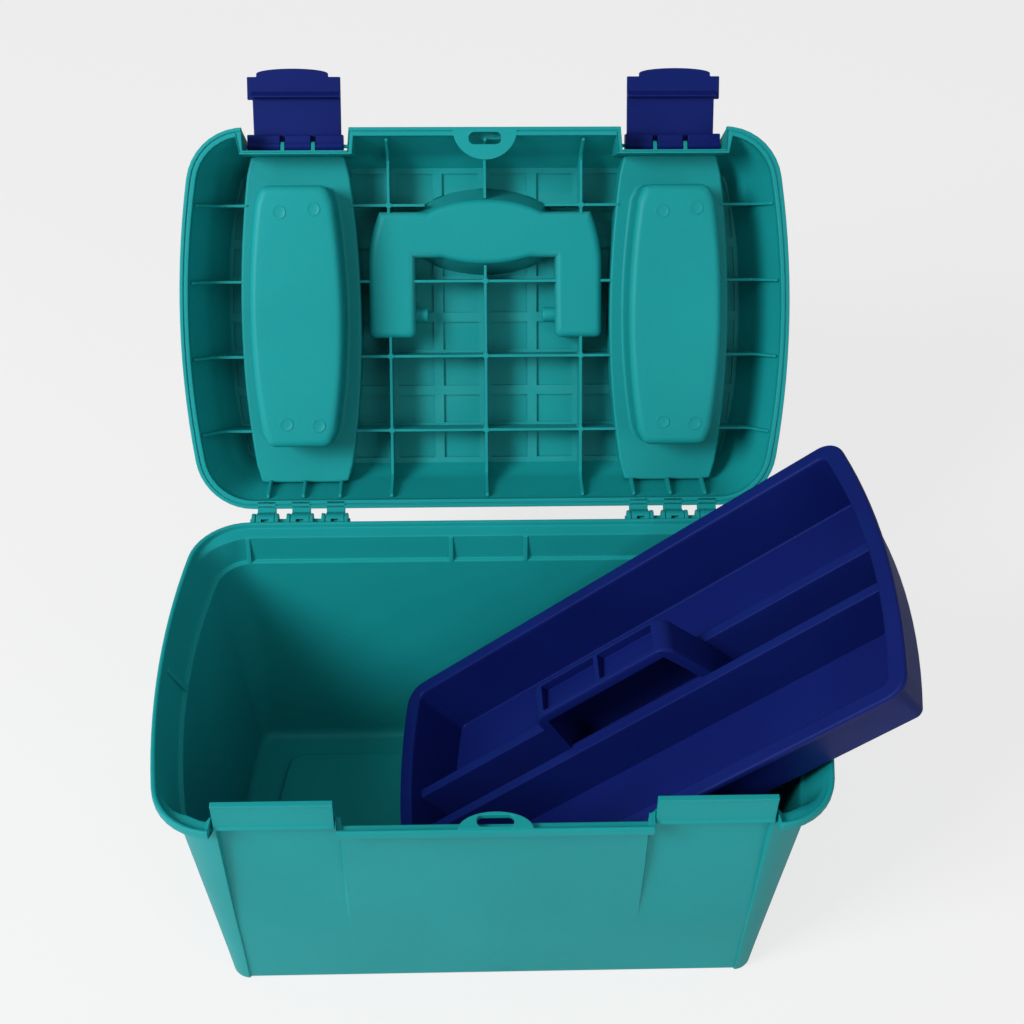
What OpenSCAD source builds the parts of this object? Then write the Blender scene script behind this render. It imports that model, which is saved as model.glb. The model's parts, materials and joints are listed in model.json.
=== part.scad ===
// Horse grooming box: tapered tub, hinged lid with two lidded pockets, fold-down handle,
// two front latches and a lift-out tray that leans in the open tub.
// Millimetres. The origin is the middle of the foot, +Z is up and the front faces -Y.

/* [Tub] */
// Width over the rim, at the middle of the bowed ends
rim_w = 400; // [380:1:430]
// Depth over the rim
rim_d = 248; // [240:1:270]
// Height of the rim above the table
box_h = 187; // [175:1:210]
// How far each end bows out at the rim
end_bow = 13; // [9:0.5:16]
// Corner radius of the rim
rim_r = 38; // [32:1:44]
// How far the foot stands in from the rim at each end
foot_in_x = 29; // [25:0.5:34]
// How far the foot stands in from the rim at the front and back
foot_in_y = 24.5; // [21:0.5:28]
// Corner radius of the foot
foot_r = 18; // [14:1:26]
// Wall thickness at the foot
tub_wall = 3; // [2.8:0.1:4]
// Height of the lip that turns down from the rim
lip_h = 6; // [5:0.5:8]
// How far the lip stands out from the wall
lip_out = 5.3; // [4.5:0.1:6]
// Width of the rim's top face
rim_top = 7.8; // [7:0.1:8.6]
// Depth of the tray ledge below the rim
ledge_drop = 23; // [20:0.5:28]
// Width of the tray ledge
ledge_w = 5.2; // [4:0.1:6]
// Height of the recess under the foot
foot_recess = 5; // [3:0.5:7]
// Width of the flat foot ring
foot_ring = 15; // [10:1:20]

/* [Latch catches] */
// Distance of each latch from the end of the rim
latch_in = 77.5; // [76:0.5:82]
// Width of each catch
catch_w = 65; // [60:1:66]
// Height of the catches above the rim
catch_up = 19; // [14:0.5:20]
// How far the panels below the catches lie behind the rim
panel_in = 11; // [10:0.5:12]
// Height below the rim at which those panels run out into the wall
panel_fade = 125; // [90:1:140]
// How far the front corners stand proud of the front wall
corner_proud = 1.2; // [0.8:0.1:1.5]
// Distance of each front corner's inner edge from the end of the rim
corner_in = 44; // [43:0.1:44.5]

/* [Lid] */
// Height of the lid above the rim
lid_h = 56; // [52:1:62]
// Wall thickness of the lid
lid_wall = 2.4; // [2:0.1:3]
// Angle at which the lid stands open
lid_open = 124.1; // [110:0.1:125]
// Distance of the outer ribs from the front and back of the rim
rib_in = 49; // [44:1:55]
// Thickness of the ribs
rib_t = 2; // [1.6:0.1:2.6]
// Height of the ribs' lower edge above the rim
rib_z = 27; // [24:0.5:30]

/* [Lid pockets] */
// Distance of each pocket's middle from the end of the lid
pocket_in = 76.7; // [76:0.1:79]
// Half width of the channel at its front
channel_front_hw = 28.3; // [26:0.1:30]
// Half width of the channel at its middle
channel_mid_hw = 40; // [37:0.5:42]
// Half width of the channel at its back
channel_back_hw = 30.5; // [29:0.1:32]
// Half width of the pocket at its front
pocket_front_hw = 21.6; // [19:0.1:23]
// Half width of the pocket at its middle
pocket_mid_hw = 30.5; // [28:0.1:32]
// Half width of the pocket at its back
pocket_back_hw = 22.7; // [20:0.1:24]
// How far the pockets reach below the rim
pocket_drop = 10; // [6:0.5:12]

/* [Latches] */
// Width of a latch
latch_w = 56; // [50:1:57]
// Length of a latch from its pivot to its tip
latch_len = 50.5; // [46:0.5:56]
// Height of the latch pivot above the rim
latch_z = 24; // [22.5:0.1:25]
// Thickness of the latch plate
latch_t = 2.5; // [2:0.1:3]
// Thickness of the two lugs that carry a latch
lug_t = 2.6; // [2:0.1:3]

/* [Handle] */
// Gap between a handle arm and the pocket beside it
arm_gap = 12.3; // [11:0.1:14]
// Width of a handle arm
arm_w = 21; // [18:0.5:22]
// Thickness of the handle
handle_t = 16; // [12:0.5:17]
// Distance from the handle pivots to the front of the grip
handle_reach = 65.6; // [60:0.1:70]
// Depth of the grip
grip_d = 20; // [17:0.5:22]

/* [Tray] */
// How much shorter the tray is than the tub's rim at each end
tray_end_in = 14; // [13:0.5:20]
// How much narrower the tray is than the tub's foot on each side
tray_side_in = 0.5; // [0.3:0.1:4]
// Depth of the tray
tray_h = 46; // [42:1:47]
// How far each tray end bows out
tray_bow = 10.8; // [8:0.1:13]
// Corner radius of the tray
tray_r = 15.6; // [14:0.1:18]
// Width of the tray's flat rim
tray_rim = 10; // [9:0.1:12]
// Wall thickness of the tray
tray_wall = 2.2; // [1.8:0.1:2.8]
// Slope at which the tray leans in the tub
tray_lean = 40.47; // [38:0.01:41]
// Width of the channel along the middle of the tray
channel_w = 20; // [18:0.5:24]
// Thickness of the two dividers
divider_t = 4.5; // [3.5:0.1:6]
// Height of the tray handle above the tray's rim
grip_up = 27; // [20:0.5:30]

/* [Pins] */
// Diameter of the hinge pins
hinge_pin_d = 4; // [3.6:0.1:4.4]
// Diameter of the latch pins
latch_pin_d = 2.4; // [2:0.1:2.8]
// Diameter of the handle pins
handle_pin_d = 6; // [5:0.1:7]
// Diameter of the pocket cover pins
cover_pin_d = 3; // [2.4:0.1:3.4]

/* [Hidden] */
$fn = 48;
teal = "#2f9c98";
blue = "#1c2478";
left = -1;
right = 1;

// Fits and small allowances
over = 1;
run_fit = 0.05;
edge = 1.2;
lid_gap = 0.4;
side_gap = 0.5;

// Steps along a rounded corner and along a bowed side
corner_steps = 6;
bow_steps = 8;

// Tub levels and half sizes
rim_hw = rim_w / 2;
rim_hd = rim_d / 2;
foot_hw = rim_hw - foot_in_x;
foot_hd = rim_hd - foot_in_y;
lip_z = box_h - lip_h;
ledge_z = box_h - ledge_drop;
band_taper = 2;
band_in = rim_top + band_taper;
ledge_in = band_in + ledge_w;
least_r = 8;
foot_bow = 8;
foot_rib_t = 4;

// Front panels, catches and padlock eye
latch_x = rim_hw - latch_in;
corner_x = rim_hw - corner_in;
catch_set = 6.5;
catch_t = 3;
catch_y = -(rim_hd - catch_set);
catch_back = catch_y + catch_t;
panel_y = -(rim_hd - panel_in);
back_wall_t = 3.5;
catch_side = 1.5;
eye_hw = 21;
eye_reach = 15;
eye_t = 3;
eye_drop = 5.5;
slot_hw = 10.4;
slot_in = 3.3;
slot_front = slot_in - rim_hd;
slot_d = 7.6;
lock_hw = 17;
lock_h = 40;
lock_in = 2.5;

// Gussets on the band above the ledge
gusset_t = 3;
gusset_d = 3;
gusset_drop = 4;
gusset_in = 43;
gusset_outer_x = rim_hw - gusset_in;
gusset_inner_x = 24.5;

// Hinge: two groups of three hooks, each hook between two ears
axis_out = 7.4;
axis_drop = 7.5;
axis_y = rim_hd + axis_out;
axis_z = box_h - axis_drop;
hinge_in = 76;
hinge_x = rim_hw - hinge_in;
hook_pitch = 22.9;
hook_w = 12;
hook_r = 5.2;
hook_arm_h = 6;
hook_root = 5;
core_w = 5;
ear_t = 2.4;
ear_gap = 0.4;
ear_r = 5.6;
ear_foot = 15;
ear_x = hook_w / 2 + ear_gap + ear_t / 2;
hinge_pin_over = 1.2;
hinge_pin_len = 2 * (hook_pitch + ear_x + ear_t / 2 + hinge_pin_over);
web_t = 2.4;

// Lid shell, in the closed position above the rim
lid_floor = box_h + lid_gap;
lid_top = box_h + lid_h;
lid_rim_h = 5.5;
lid_groove_in = 3;
lid_groove_w = 1.2;
shoulder_in = 9;
shoulder_drop = 12;
shoulder_z = lid_top - shoulder_drop;
crown_in = 13;
crown_drop = 4;
crown_z = lid_top - crown_drop;
top_in = 24;
groove_z = lid_floor + lid_groove_w;
rib_bend = 20;
rib_x_share = 0.16;
rib_dx = rim_w * rib_x_share;
rib_y_steps = 1.5;
rib_dy = (rim_hd - rib_in) / rib_y_steps;

// Latch notch, lugs and the channel floor
notch_w = 68;
notch_in = 14.5;
notch_y = notch_in - rim_hd;
notch_wall = 2.5;
latch_out = 3.7;
latch_y = notch_y - latch_out;
latch_axis_z = box_h + latch_z;
lug_x = 10;
lug_r = 3.1;
knuckle_r = 3.3;
slit_w = lug_t + 2 * ear_gap;
latch_plate_y = 6.2;
hook_at = 31.5;
hook_t = 3.2;
hook_in = 5.5;
shoulder_at = 45.2;
tip_in = 6.2;
tip_step = 2;
latch_pin_len = notch_w + 2 * notch_wall - 2 * side_gap;

// Pocket channels and their covers
pocket_x = rim_hw - pocket_in;
channel_in = 18;
channel_front = channel_in - rim_hd;
channel_back = rim_hd - channel_in;
pocket_front_in = 38.5;
pocket_back_in = 42;
pocket_front = pocket_front_in - rim_hd;
pocket_back = rim_hd - pocket_back_in;
channel_z = box_h + rib_z;
channel_floor = channel_z + lid_wall;
pocket_z = box_h - pocket_drop;
pocket_round = 5;
pocket_soft_share = 0.3;
cover_t = 3;
cover_drop = 4.5;
cover_ease = 1.6;
cover_top = lid_top - side_gap;
cover_axis_in = 9;
cover_axis_y = channel_back - cover_axis_in;
cover_axis_z = cover_top - cover_drop;
cover_lug_x = 18;
cover_lug_t = 5;
cover_lug_r = 3.4;
cover_back = cover_axis_y + cover_lug_r;
cover_pin_in = 0.8;
cover_pin_hl = channel_back_hw - cover_pin_in;
outline_steps = 10;

// Handle well, handle and pivots
pivot_y = -2;
pivot_drop = 16;
pivot_z = lid_top - pivot_drop;
well_below = 2;
well_z = channel_z - well_below;
well_floor = well_z + lid_wall;
well_gap = 0.7;
swing_gap = 4;
well_side = well_gap + lid_wall;
arm_out = pocket_x - channel_mid_hw - arm_gap;
arm_in = arm_out - arm_w;
arm_curve = 6.5;
arm_curve_len = 30;
scoop_in = 2.7;
scoop_hw = arm_in - scoop_in;
scoop_hd = 20.3;
scoop_flare_x = 6;
scoop_flare_y = 9.4;
grip_front = pivot_y - handle_reach;
grip_mid = grip_front + grip_d / 2;
boss_r = 5;
boss_len = 10;
pin_reach = 9;
pin_seat = 1.6;
handle_pin_in = arm_in - pin_reach;
handle_pin_out = arm_out + pin_seat;

// Tray, in its own level frame below its rim
tray_hl = rim_hw - tray_end_in;
tray_hw = foot_hd - tray_side_in;
tray_rim_t = 3;
tray_draft = 3;
tray_least_r = 5;
divider_drop = 7;
divider_draft = 6;
grip_top_hw = 50;
grip_flare = 12;
grip_foot_hw = grip_top_hw + grip_flare;
grip_t = 7;
grip_side = 6;
hole_flare = 6;
hole_top_hw = grip_top_hw - grip_side;
hole_low_hw = hole_top_hw + hole_flare;
hole_z = -16;
grip_pocket_d = 2;
grip_rib = 5;
grip_wall = 3;
tray_foot_hw = tray_hw - tray_rim - tray_draft + tray_wall;
rest_gap = 10.22;
rest_in = rest_gap + end_bow * pow(tray_foot_hw / rim_hd, 2);
rest_lift = 4.55;
rest_along = (box_h - rest_lift) / sin(tray_lean) - tray_hl;
tray_y = 2;
tray_roll = 0.4;
tray_turn = 0.6;

// Height of the outer wall's face from the middle plane at height z
function wall_y(z) = foot_hd + (rim_hd - lip_out - foot_hd) * z / lip_z;

// Plan outline with straight long sides, bowed ends and round corners
function half_outline(hw, hd, bow, r) =
    let (rs = (hd * hd + bow * bow) / (2 * bow),
         cx = hw - rs,
         fx = cx + sqrt(pow(rs - r, 2) - pow(hd - r, 2)),
         phi = asin((hd - r) / (rs - r)))
    concat([for (i = [0:corner_steps]) let (a = -90 + (90 - phi) * i / corner_steps)
                [fx + r * cos(a), r - hd + r * sin(a)]],
           [for (i = [1:bow_steps - 1]) let (a = -phi + 2 * phi * i / bow_steps)
                [cx + rs * cos(a), rs * sin(a)]],
           [for (i = [0:corner_steps]) let (a = phi + (90 - phi) * i / corner_steps)
                [fx + r * cos(a), hd - r + r * sin(a)]]);
function outline(hw, hd, bow, r) =
    let (h = half_outline(hw, hd, bow, r), n = len(h))
    concat(h, [for (i = [n - 1:-1:0]) [-h[i].x, h[i].y]]);
function ring(hw, hd, bow, r, z) = [for (p = outline(hw, hd, bow, r)) [p.x, p.y, z]];
function rim_ring(inset, z) =
    ring(rim_hw - inset, rim_hd - inset, end_bow, max(rim_r - inset, least_r), z);
function foot_ring_at(inset, z) =
    ring(foot_hw - inset, foot_hd - inset, foot_bow, max(foot_r - inset / 2, least_r), z);
function tray_ring(inset, z) =
    ring(tray_hl - inset, tray_hw - inset, tray_bow, max(tray_r - inset, tray_least_r), z);

// Long outline whose sides bulge between its two ends
function barrel(front, back, front_hw, mid_hw, back_hw, inset = 0) =
    let (mid = (front + back) / 2,
         half = (back - front) / 2 - inset,
         side = [for (i = [0:outline_steps]) let (t = 2 * i / outline_steps - 1)
             [mid_hw - inset - (mid_hw - (t < 0 ? front_hw : back_hw)) * t * t, mid + half * t]])
    concat(side, [for (i = [outline_steps:-1:0]) [-side[i].x, side[i].y]]);
function channel_outline(inset = 0) =
    barrel(channel_front, channel_back, channel_front_hw, channel_mid_hw, channel_back_hw, inset);
function pocket_ring(inset, z) =
    [for (p = barrel(pocket_front, pocket_back, pocket_front_hw, pocket_mid_hw, pocket_back_hw, inset))
        [p.x, p.y, z]];
function half_oval(hw, reach, y) =
    [for (i = [0:outline_steps]) let (a = 180 * i / outline_steps) [hw * cos(a), y + reach * sin(a)]];

// Closed solid through a stack of rings that all have the same number of points
module loft(rings) {
    n = len(rings[0]);
    points = [for (r = rings) for (p = r) p];
    last = (len(rings) - 1) * n;
    sides = [for (k = [0:len(rings) - 2]) for (i = [0:n - 1])
        let (a = k * n + i, b = k * n + (i + 1) % n, c = a + n, d = b + n) for (f = [[a, c, d], [a, d, b]]) f];
    caps = [[for (i = [0:n - 1]) i], [for (i = [n - 1:-1:0]) last + i]];
    polyhedron(points, concat(sides, caps));
}
// Profile in the YZ plane, swept along X from x0 to x1
module slab_x(x0, x1, points) {
    translate([x0, 0, 0]) rotate([90, 0, 90]) linear_extrude(x1 - x0) polygon(points);
}
// Profile in the XZ plane, swept along Y from y0 to y1
module slab_y(y0, y1, points) {
    translate([0, y1, 0]) rotate([90, 0, 0]) linear_extrude(y1 - y0) polygon(points);
}
// Plan outline swept up from z0 to z1
module slab_z(z0, z1, points) {
    translate([0, 0, z0]) linear_extrude(z1 - z0) polygon(points);
}
// Box between two corners
module block(low, high) {
    translate(low) cube(high - low);
}
// Round bar along X, centred on at
module bar_x(at, d, length) {
    translate(at) rotate([0, 90, 0]) cylinder(d = d, h = length, center = true);
}

module tub_shell() {
    floor_in = foot_ring - tub_wall;
    loft([foot_ring_at(foot_ring, foot_recess), foot_ring_at(foot_ring - edge, 0), foot_ring_at(edge, 0),
          foot_ring_at(0, edge), rim_ring(lip_out, lip_z), rim_ring(edge / 2, lip_z),
          rim_ring(0, lip_z + edge / 2), rim_ring(0, box_h - edge), rim_ring(edge, box_h),
          rim_ring(rim_top - edge / 2, box_h), rim_ring(rim_top, box_h - edge / 2),
          rim_ring(band_in, ledge_z), rim_ring(ledge_in, ledge_z),
          foot_ring_at(tub_wall, tub_wall + edge), foot_ring_at(tub_wall + edge, tub_wall),
          foot_ring_at(floor_in - edge, tub_wall), foot_ring_at(floor_in, tub_wall + foot_recess)]);
}
module foot_ribs() {
    reach = foot_hd - foot_ring + tub_wall / 2;
    span = foot_hw - foot_ring + tub_wall / 2;
    block([-foot_rib_t / 2, -reach, 0], [foot_rib_t / 2, reach, foot_recess + edge]);
    block([-span, -foot_rib_t / 2, 0], [span, foot_rib_t / 2, foot_recess + edge]);
}
module front_cuts() {
    out = -(rim_hd + over);
    slab_x(-corner_x, corner_x, [[out, -over], [corner_proud - wall_y(-over), -over],
        [corner_proud - wall_y(lip_z), lip_z], [out, lip_z]]);
    for (s = [left, right])
        translate([s * latch_x, 0, 0])
            slab_x(-catch_w / 2 - catch_side, catch_w / 2 + catch_side, [[out, box_h + over],
                [panel_y, box_h + over], [panel_y, lip_z],
                [corner_proud - wall_y(box_h - panel_fade), box_h - panel_fade], [out, box_h - panel_fade]]);
    slab_x(-lock_hw, lock_hw, [[out, lip_z - lock_h],
        [corner_proud - wall_y(lip_z - lock_h), lip_z - lock_h],
        [corner_proud + lock_in - wall_y(lip_z), lip_z], [out, lip_z]]);
}
module catch_wall() {
    half = catch_w / 2;
    block([-half - 2 * catch_side, panel_y, ledge_z - back_wall_t],
          [half + 2 * catch_side, panel_y + back_wall_t, box_h]);
    block([-half, catch_y, lip_z], [half, panel_y + over, lip_z + catch_t]);
    block([-half, catch_y, lip_z], [half, catch_back, box_h + catch_up]);
}
module hinge_ears() {
    foot_y = wall_y(axis_z) - over;
    for (h = [-1:1], s = [left, right])
        translate([h * hook_pitch + s * ear_x, 0, 0]) {
            bar_x([0, axis_y, axis_z], 2 * ear_r, ear_t);
            slab_x(-ear_t / 2, ear_t / 2, [[foot_y, axis_z], [foot_y - over, axis_z - ear_foot],
                [axis_y, axis_z - ear_r], [axis_y, axis_z]]);
        }
    for (h = [-1:0])
        block([h * hook_pitch + ear_x, foot_y, axis_z - ear_r],
              [(h + 1) * hook_pitch - ear_x, axis_y, axis_z - ear_r + web_t]);
}
module gussets() {
    top = box_h - gusset_drop;
    back = rim_hd - rim_top;
    for (x = [gusset_outer_x, gusset_inner_x], s = [left, right])
        slab_x(s * x - gusset_t / 2, s * x + gusset_t / 2, [[back, top], [back + over, ledge_z - over],
            [back - band_taper - gusset_d, ledge_z - over], [back - band_taper - gusset_d, ledge_z]]);
}
module tub() {
    color(teal) difference() {
        union() {
            difference() {
                tub_shell();
                front_cuts();
            }
            for (s = [left, right]) translate([s * latch_x, 0, 0]) catch_wall();
            for (s = [left, right]) translate([s * hinge_x, 0, 0]) hinge_ears();
            gussets();
            foot_ribs();
            slab_z(box_h - eye_drop - eye_t, box_h - eye_drop, half_oval(eye_hw, eye_reach, -rim_hd + edge));
        }
        block([-slot_hw, slot_front, lip_z - lock_h / 2], [slot_hw, slot_front + slot_d, box_h + over]);
        for (s = [left, right])
            bar_x([s * hinge_x, axis_y, axis_z], hinge_pin_d, hinge_pin_len + 2 * over);
    }
}

// Turns a piece that is modelled on the closed lid to the open position
module on_open_lid() {
    translate([0, axis_y, axis_z]) rotate([-lid_open, 0, 0]) translate([0, -axis_y, -axis_z]) children();
}
module lid_body(inset, top) {
    loft([rim_ring(inset, lid_floor), rim_ring(inset, lid_floor + lid_rim_h),
          rim_ring(inset + edge, lid_floor + lid_rim_h + edge), rim_ring(shoulder_in + inset, shoulder_z - top),
          rim_ring(crown_in + inset, crown_z - top), rim_ring(top_in - edge, lid_top - top - edge / 2),
          rim_ring(top_in + inset / 2, lid_top - top)]);
}
module lid_shell() {
    difference() {
        lid_body(0, 0);
        loft([rim_ring(rim_top, lid_floor - over), rim_ring(rim_top, lid_floor + lid_rim_h),
              rim_ring(shoulder_in + lid_wall, shoulder_z - lid_wall),
              rim_ring(crown_in + lid_wall, crown_z - lid_wall),
              rim_ring(top_in - edge + lid_wall / 2, lid_top - lid_wall - edge / 2),
              rim_ring(top_in + lid_wall / 2, lid_top - lid_wall)]);
        difference() {
            loft([rim_ring(lid_groove_in, lid_floor - over), rim_ring(lid_groove_in, groove_z)]);
            loft([rim_ring(lid_groove_in + lid_groove_w, lid_floor - 2 * over),
                  rim_ring(lid_groove_in + lid_groove_w, groove_z + over)]);
        }
    }
}
// Outline of a rib that spans the roof and runs down both walls to the lip
function rib_half(half) =
    [[half - rib_bend, channel_z], [half - rim_top - edge / 2, lid_floor + lid_rim_h],
     [half - rim_top + edge, lid_floor + lid_rim_h], [half - shoulder_in - lid_wall / 2, shoulder_z - lid_wall],
     [half - crown_in - lid_wall / 2, crown_z - lid_wall], [half - top_in, lid_top - lid_wall / 2]];
function rib_outline(half) =
    let (h = rib_half(half), n = len(h))
    concat(h, [for (i = [n - 1:-1:0]) [-h[i].x, h[i].y]]);
// How far the bowed end stands back at distance y from the middle
function bow_in(y) = let (rs = (rim_hd * rim_hd + end_bow * end_bow) / (2 * end_bow)) rs - sqrt(rs * rs - y * y);
module lid_ribs() {
    for (i = [-1:1])
        slab_x(i * rib_dx - rib_t / 2, i * rib_dx + rib_t / 2, rib_outline(rim_hd));
    for (j = [-rib_y_steps:rib_y_steps])
        slab_y(j * rib_dy - rib_t / 2, j * rib_dy + rib_t / 2, rib_outline(rim_hw - bow_in(j * rib_dy)));
}
module channel_walls() {
    slab_z(channel_z, lid_top, channel_outline());
    loft([pocket_ring(pocket_round, pocket_z), pocket_ring(pocket_round * pocket_soft_share, pocket_z + edge),
          pocket_ring(0, pocket_z + pocket_round), pocket_ring(0, channel_floor)]);
    block([-notch_w / 2 - notch_wall, -rim_hd + shoulder_in, lid_floor],
          [notch_w / 2 + notch_wall, notch_y + notch_wall, shoulder_z]);
}
module channel_cavity() {
    slab_z(channel_floor, lid_top + over, channel_outline(lid_wall));
    loft([pocket_ring(pocket_round + lid_wall, pocket_z + lid_wall),
          pocket_ring(pocket_round * pocket_soft_share + lid_wall, pocket_z + lid_wall + edge),
          pocket_ring(lid_wall, pocket_z + lid_wall + pocket_round), pocket_ring(lid_wall, channel_floor + over)]);
    bar_x([0, cover_axis_y, cover_axis_z], cover_pin_d, 2 * cover_pin_hl);
}
module notch_cut() {
    block([-notch_w / 2, -rim_hd - over, lid_floor - over], [notch_w / 2, notch_y, lid_top + over]);
}
module latch_lugs() {
    for (s = [left, right])
        difference() {
            union() {
                bar_x([s * lug_x, latch_y, latch_axis_z], 2 * lug_r, lug_t);
                block([s * lug_x - lug_t / 2, latch_y, latch_axis_z - lug_r],
                      [s * lug_x + lug_t / 2, notch_y + over, latch_axis_z + lug_r]);
            }
            bar_x([s * lug_x, latch_y, latch_axis_z], latch_pin_d, 2 * lug_t);
        }
}
// Half of the U that the handle lies in, with the outer side drawn in towards the grip
function well_arm(grow) =
    let (back = pivot_y + handle_t / 2 + grow, front = grip_front - grow)
    concat([[0, front]],
           [for (i = [0:outline_steps]) let (t = i / outline_steps)
               [arm_out + grow - arm_curve * (1 - t) * (1 - t), front + arm_curve_len * t]],
           [[arm_out + grow, back], [arm_in - grow, back],
            [arm_in - grow, grip_front + grip_d + swing_gap + grow], [0, grip_front + grip_d + swing_gap + grow]]);
module handle_outline(grow) {
    for (s = [left, right]) polygon([for (p = well_arm(grow)) [s * p.x, p.y]]);
}
function scoop_ring(z, inset) =
    let (t = (z - well_z) / (lid_top - well_z))
    [for (i = [0:4 * outline_steps - 1]) let (a = 90 * i / outline_steps)
        [(scoop_hw + scoop_flare_x * t - inset) * cos(a),
         grip_mid + (scoop_hd + scoop_flare_y * t - inset) * sin(a), z]];
module well_walls() {
    translate([0, 0, well_z]) linear_extrude(lid_top - well_z) handle_outline(well_side);
    loft([scoop_ring(well_z, 0), scoop_ring(lid_top, 0)]);
    for (s = [left, right])
        bar_x([s * (handle_pin_in + boss_len / 2 - lid_wall), pivot_y, pivot_z], 2 * boss_r, boss_len);
}
module well_cavity() {
    translate([0, 0, well_floor]) linear_extrude(lid_top - well_floor + over) handle_outline(well_gap);
    loft([scoop_ring(well_floor, lid_wall), scoop_ring(lid_top + over, lid_wall)]);
    for (s = [left, right])
        bar_x([s * (handle_pin_in + handle_pin_out) / 2, pivot_y, pivot_z], handle_pin_d,
              handle_pin_out - handle_pin_in);
}
module lid_hooks() {
    for (h = [-1:1])
        translate([h * hook_pitch, 0, 0])
            difference() {
                union() {
                    bar_x([0, axis_y, axis_z], 2 * hook_r, hook_w);
                    slab_x(-hook_w / 2, hook_w / 2, [[rim_hd - hook_root, lid_floor],
                        [rim_hd - hook_root, lid_floor + hook_arm_h], [axis_y, lid_floor + hook_arm_h],
                        [axis_y + hook_r, lid_floor + hook_arm_h - hook_root], [axis_y + hook_r, axis_z],
                        [axis_y - hook_r, axis_z], [axis_y - hook_r, lid_floor]]);
                }
                bar_x([0, axis_y, axis_z], hinge_pin_d + 2 * run_fit, hook_w + 2 * over);
                block([-core_w / 2, axis_y - core_w / 2, axis_z - hook_r - over],
                      [core_w / 2, axis_y + core_w / 2, axis_z]);
            }
}
module lid() {
    color(teal) on_open_lid() difference() {
        union() {
            difference() {
                union() {
                    lid_shell();
                    intersection() {
                        lid_body(0, 0);
                        union() {
                            lid_ribs();
                            well_walls();
                            slab_z(lid_floor, lid_floor + eye_t, half_oval(eye_hw, eye_reach + eye_drop, -rim_hd));
                        }
                    }
                    for (s = [left, right]) translate([s * pocket_x, 0, 0]) channel_walls();
                }
                for (s = [left, right]) translate([s * pocket_x, 0, 0]) channel_cavity();
                for (s = [left, right]) translate([s * latch_x, 0, 0]) notch_cut();
                well_cavity();
            }
            for (s = [left, right]) translate([s * latch_x, 0, 0]) latch_lugs();
            for (s = [left, right]) translate([s * hinge_x, 0, 0]) lid_hooks();
        }
        block([-slot_hw, slot_front, lid_floor - over], [slot_hw, slot_front + slot_d, lid_floor + 2 * lid_rim_h]);
        for (s = [left, right]) bar_x([s * latch_x, latch_y, latch_axis_z], latch_pin_d, latch_pin_len);
    }
}

// Latch in its closed position, with its pivot at the origin
module latch_closed() {
    half = latch_w / 2;
    tip_from = shoulder_at + tip_step;
    difference() {
        union() {
            bar_x([0, 0, 0], 2 * knuckle_r, latch_w);
            block([-half, -latch_plate_y - latch_t, -knuckle_r], [half, 0, knuckle_r]);
            translate([0, -latch_plate_y, 0]) rotate([90, 0, 0]) linear_extrude(latch_t)
                polygon(concat([[-half, 0], [-half, -shoulder_at], [-half + tip_in, -shoulder_at]],
                    [for (p = half_oval(half - tip_in, tip_from - latch_len, -tip_from)) [-p.x, p.y]],
                    [[half - tip_in, -shoulder_at], [half, -shoulder_at], [half, 0]]));
            slab_x(-half, half, [[-latch_plate_y, -hook_at], [-latch_plate_y + hook_in, -hook_at],
                [-latch_plate_y + hook_in, -hook_at - edge], [-latch_plate_y, -hook_at - hook_t - edge]]);
        }
        bar_x([0, 0, 0], latch_pin_d + 2 * run_fit, latch_w + 2 * over);
        for (s = [left, right])
            block([s * lug_x - slit_w / 2, -knuckle_r - ear_gap, -knuckle_r - over - ear_gap],
                  [s * lug_x + slit_w / 2, knuckle_r + over, knuckle_r + over]);
    }
}
module latch(side) {
    color(blue) on_open_lid() translate([side * latch_x, latch_y, latch_axis_z])
        rotate([-90, 0, 0]) latch_closed();
}
module latch_left() { latch(left); }
module latch_right() { latch(right); }
module latch_pin(side) {
    color(teal) on_open_lid() bar_x([side * latch_x, latch_y, latch_axis_z], latch_pin_d, latch_pin_len);
}
module latch_pin_left() { latch_pin(left); }
module latch_pin_right() { latch_pin(right); }

module carry_handle() {
    color(blue) on_open_lid() difference() {
        intersection() {
            union() {
                for (s = [left, right]) {
                    mid = s * (arm_in + arm_out) / 2;
                    bar_x([mid, pivot_y, pivot_z], handle_t, arm_w);
                    block([mid - arm_w / 2, grip_front + edge, pivot_z - handle_t / 2],
                          [mid + arm_w / 2, pivot_y, pivot_z + handle_t / 2]);
                }
                slab_x(-arm_out, arm_out, [for (i = [0:4 * outline_steps - 1]) let (a = 90 * i / outline_steps)
                    [grip_mid + grip_d / 2 * cos(a), pivot_z + handle_t / 2 * sin(a)]]);
            }
            translate([0, 0, pivot_z - handle_t]) linear_extrude(2 * handle_t) handle_outline(0);
        }
        for (s = [left, right])
            bar_x([s * (arm_in + arm_out) / 2, pivot_y, pivot_z], handle_pin_d + 2 * run_fit, arm_w + 2 * over);
    }
}
module handle_pin(side) {
    color(blue) on_open_lid() bar_x([side * (handle_pin_in + handle_pin_out) / 2, pivot_y, pivot_z],
        handle_pin_d, handle_pin_out - handle_pin_in);
}
module handle_pin_left() { handle_pin(left); }
module handle_pin_right() { handle_pin(right); }

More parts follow.
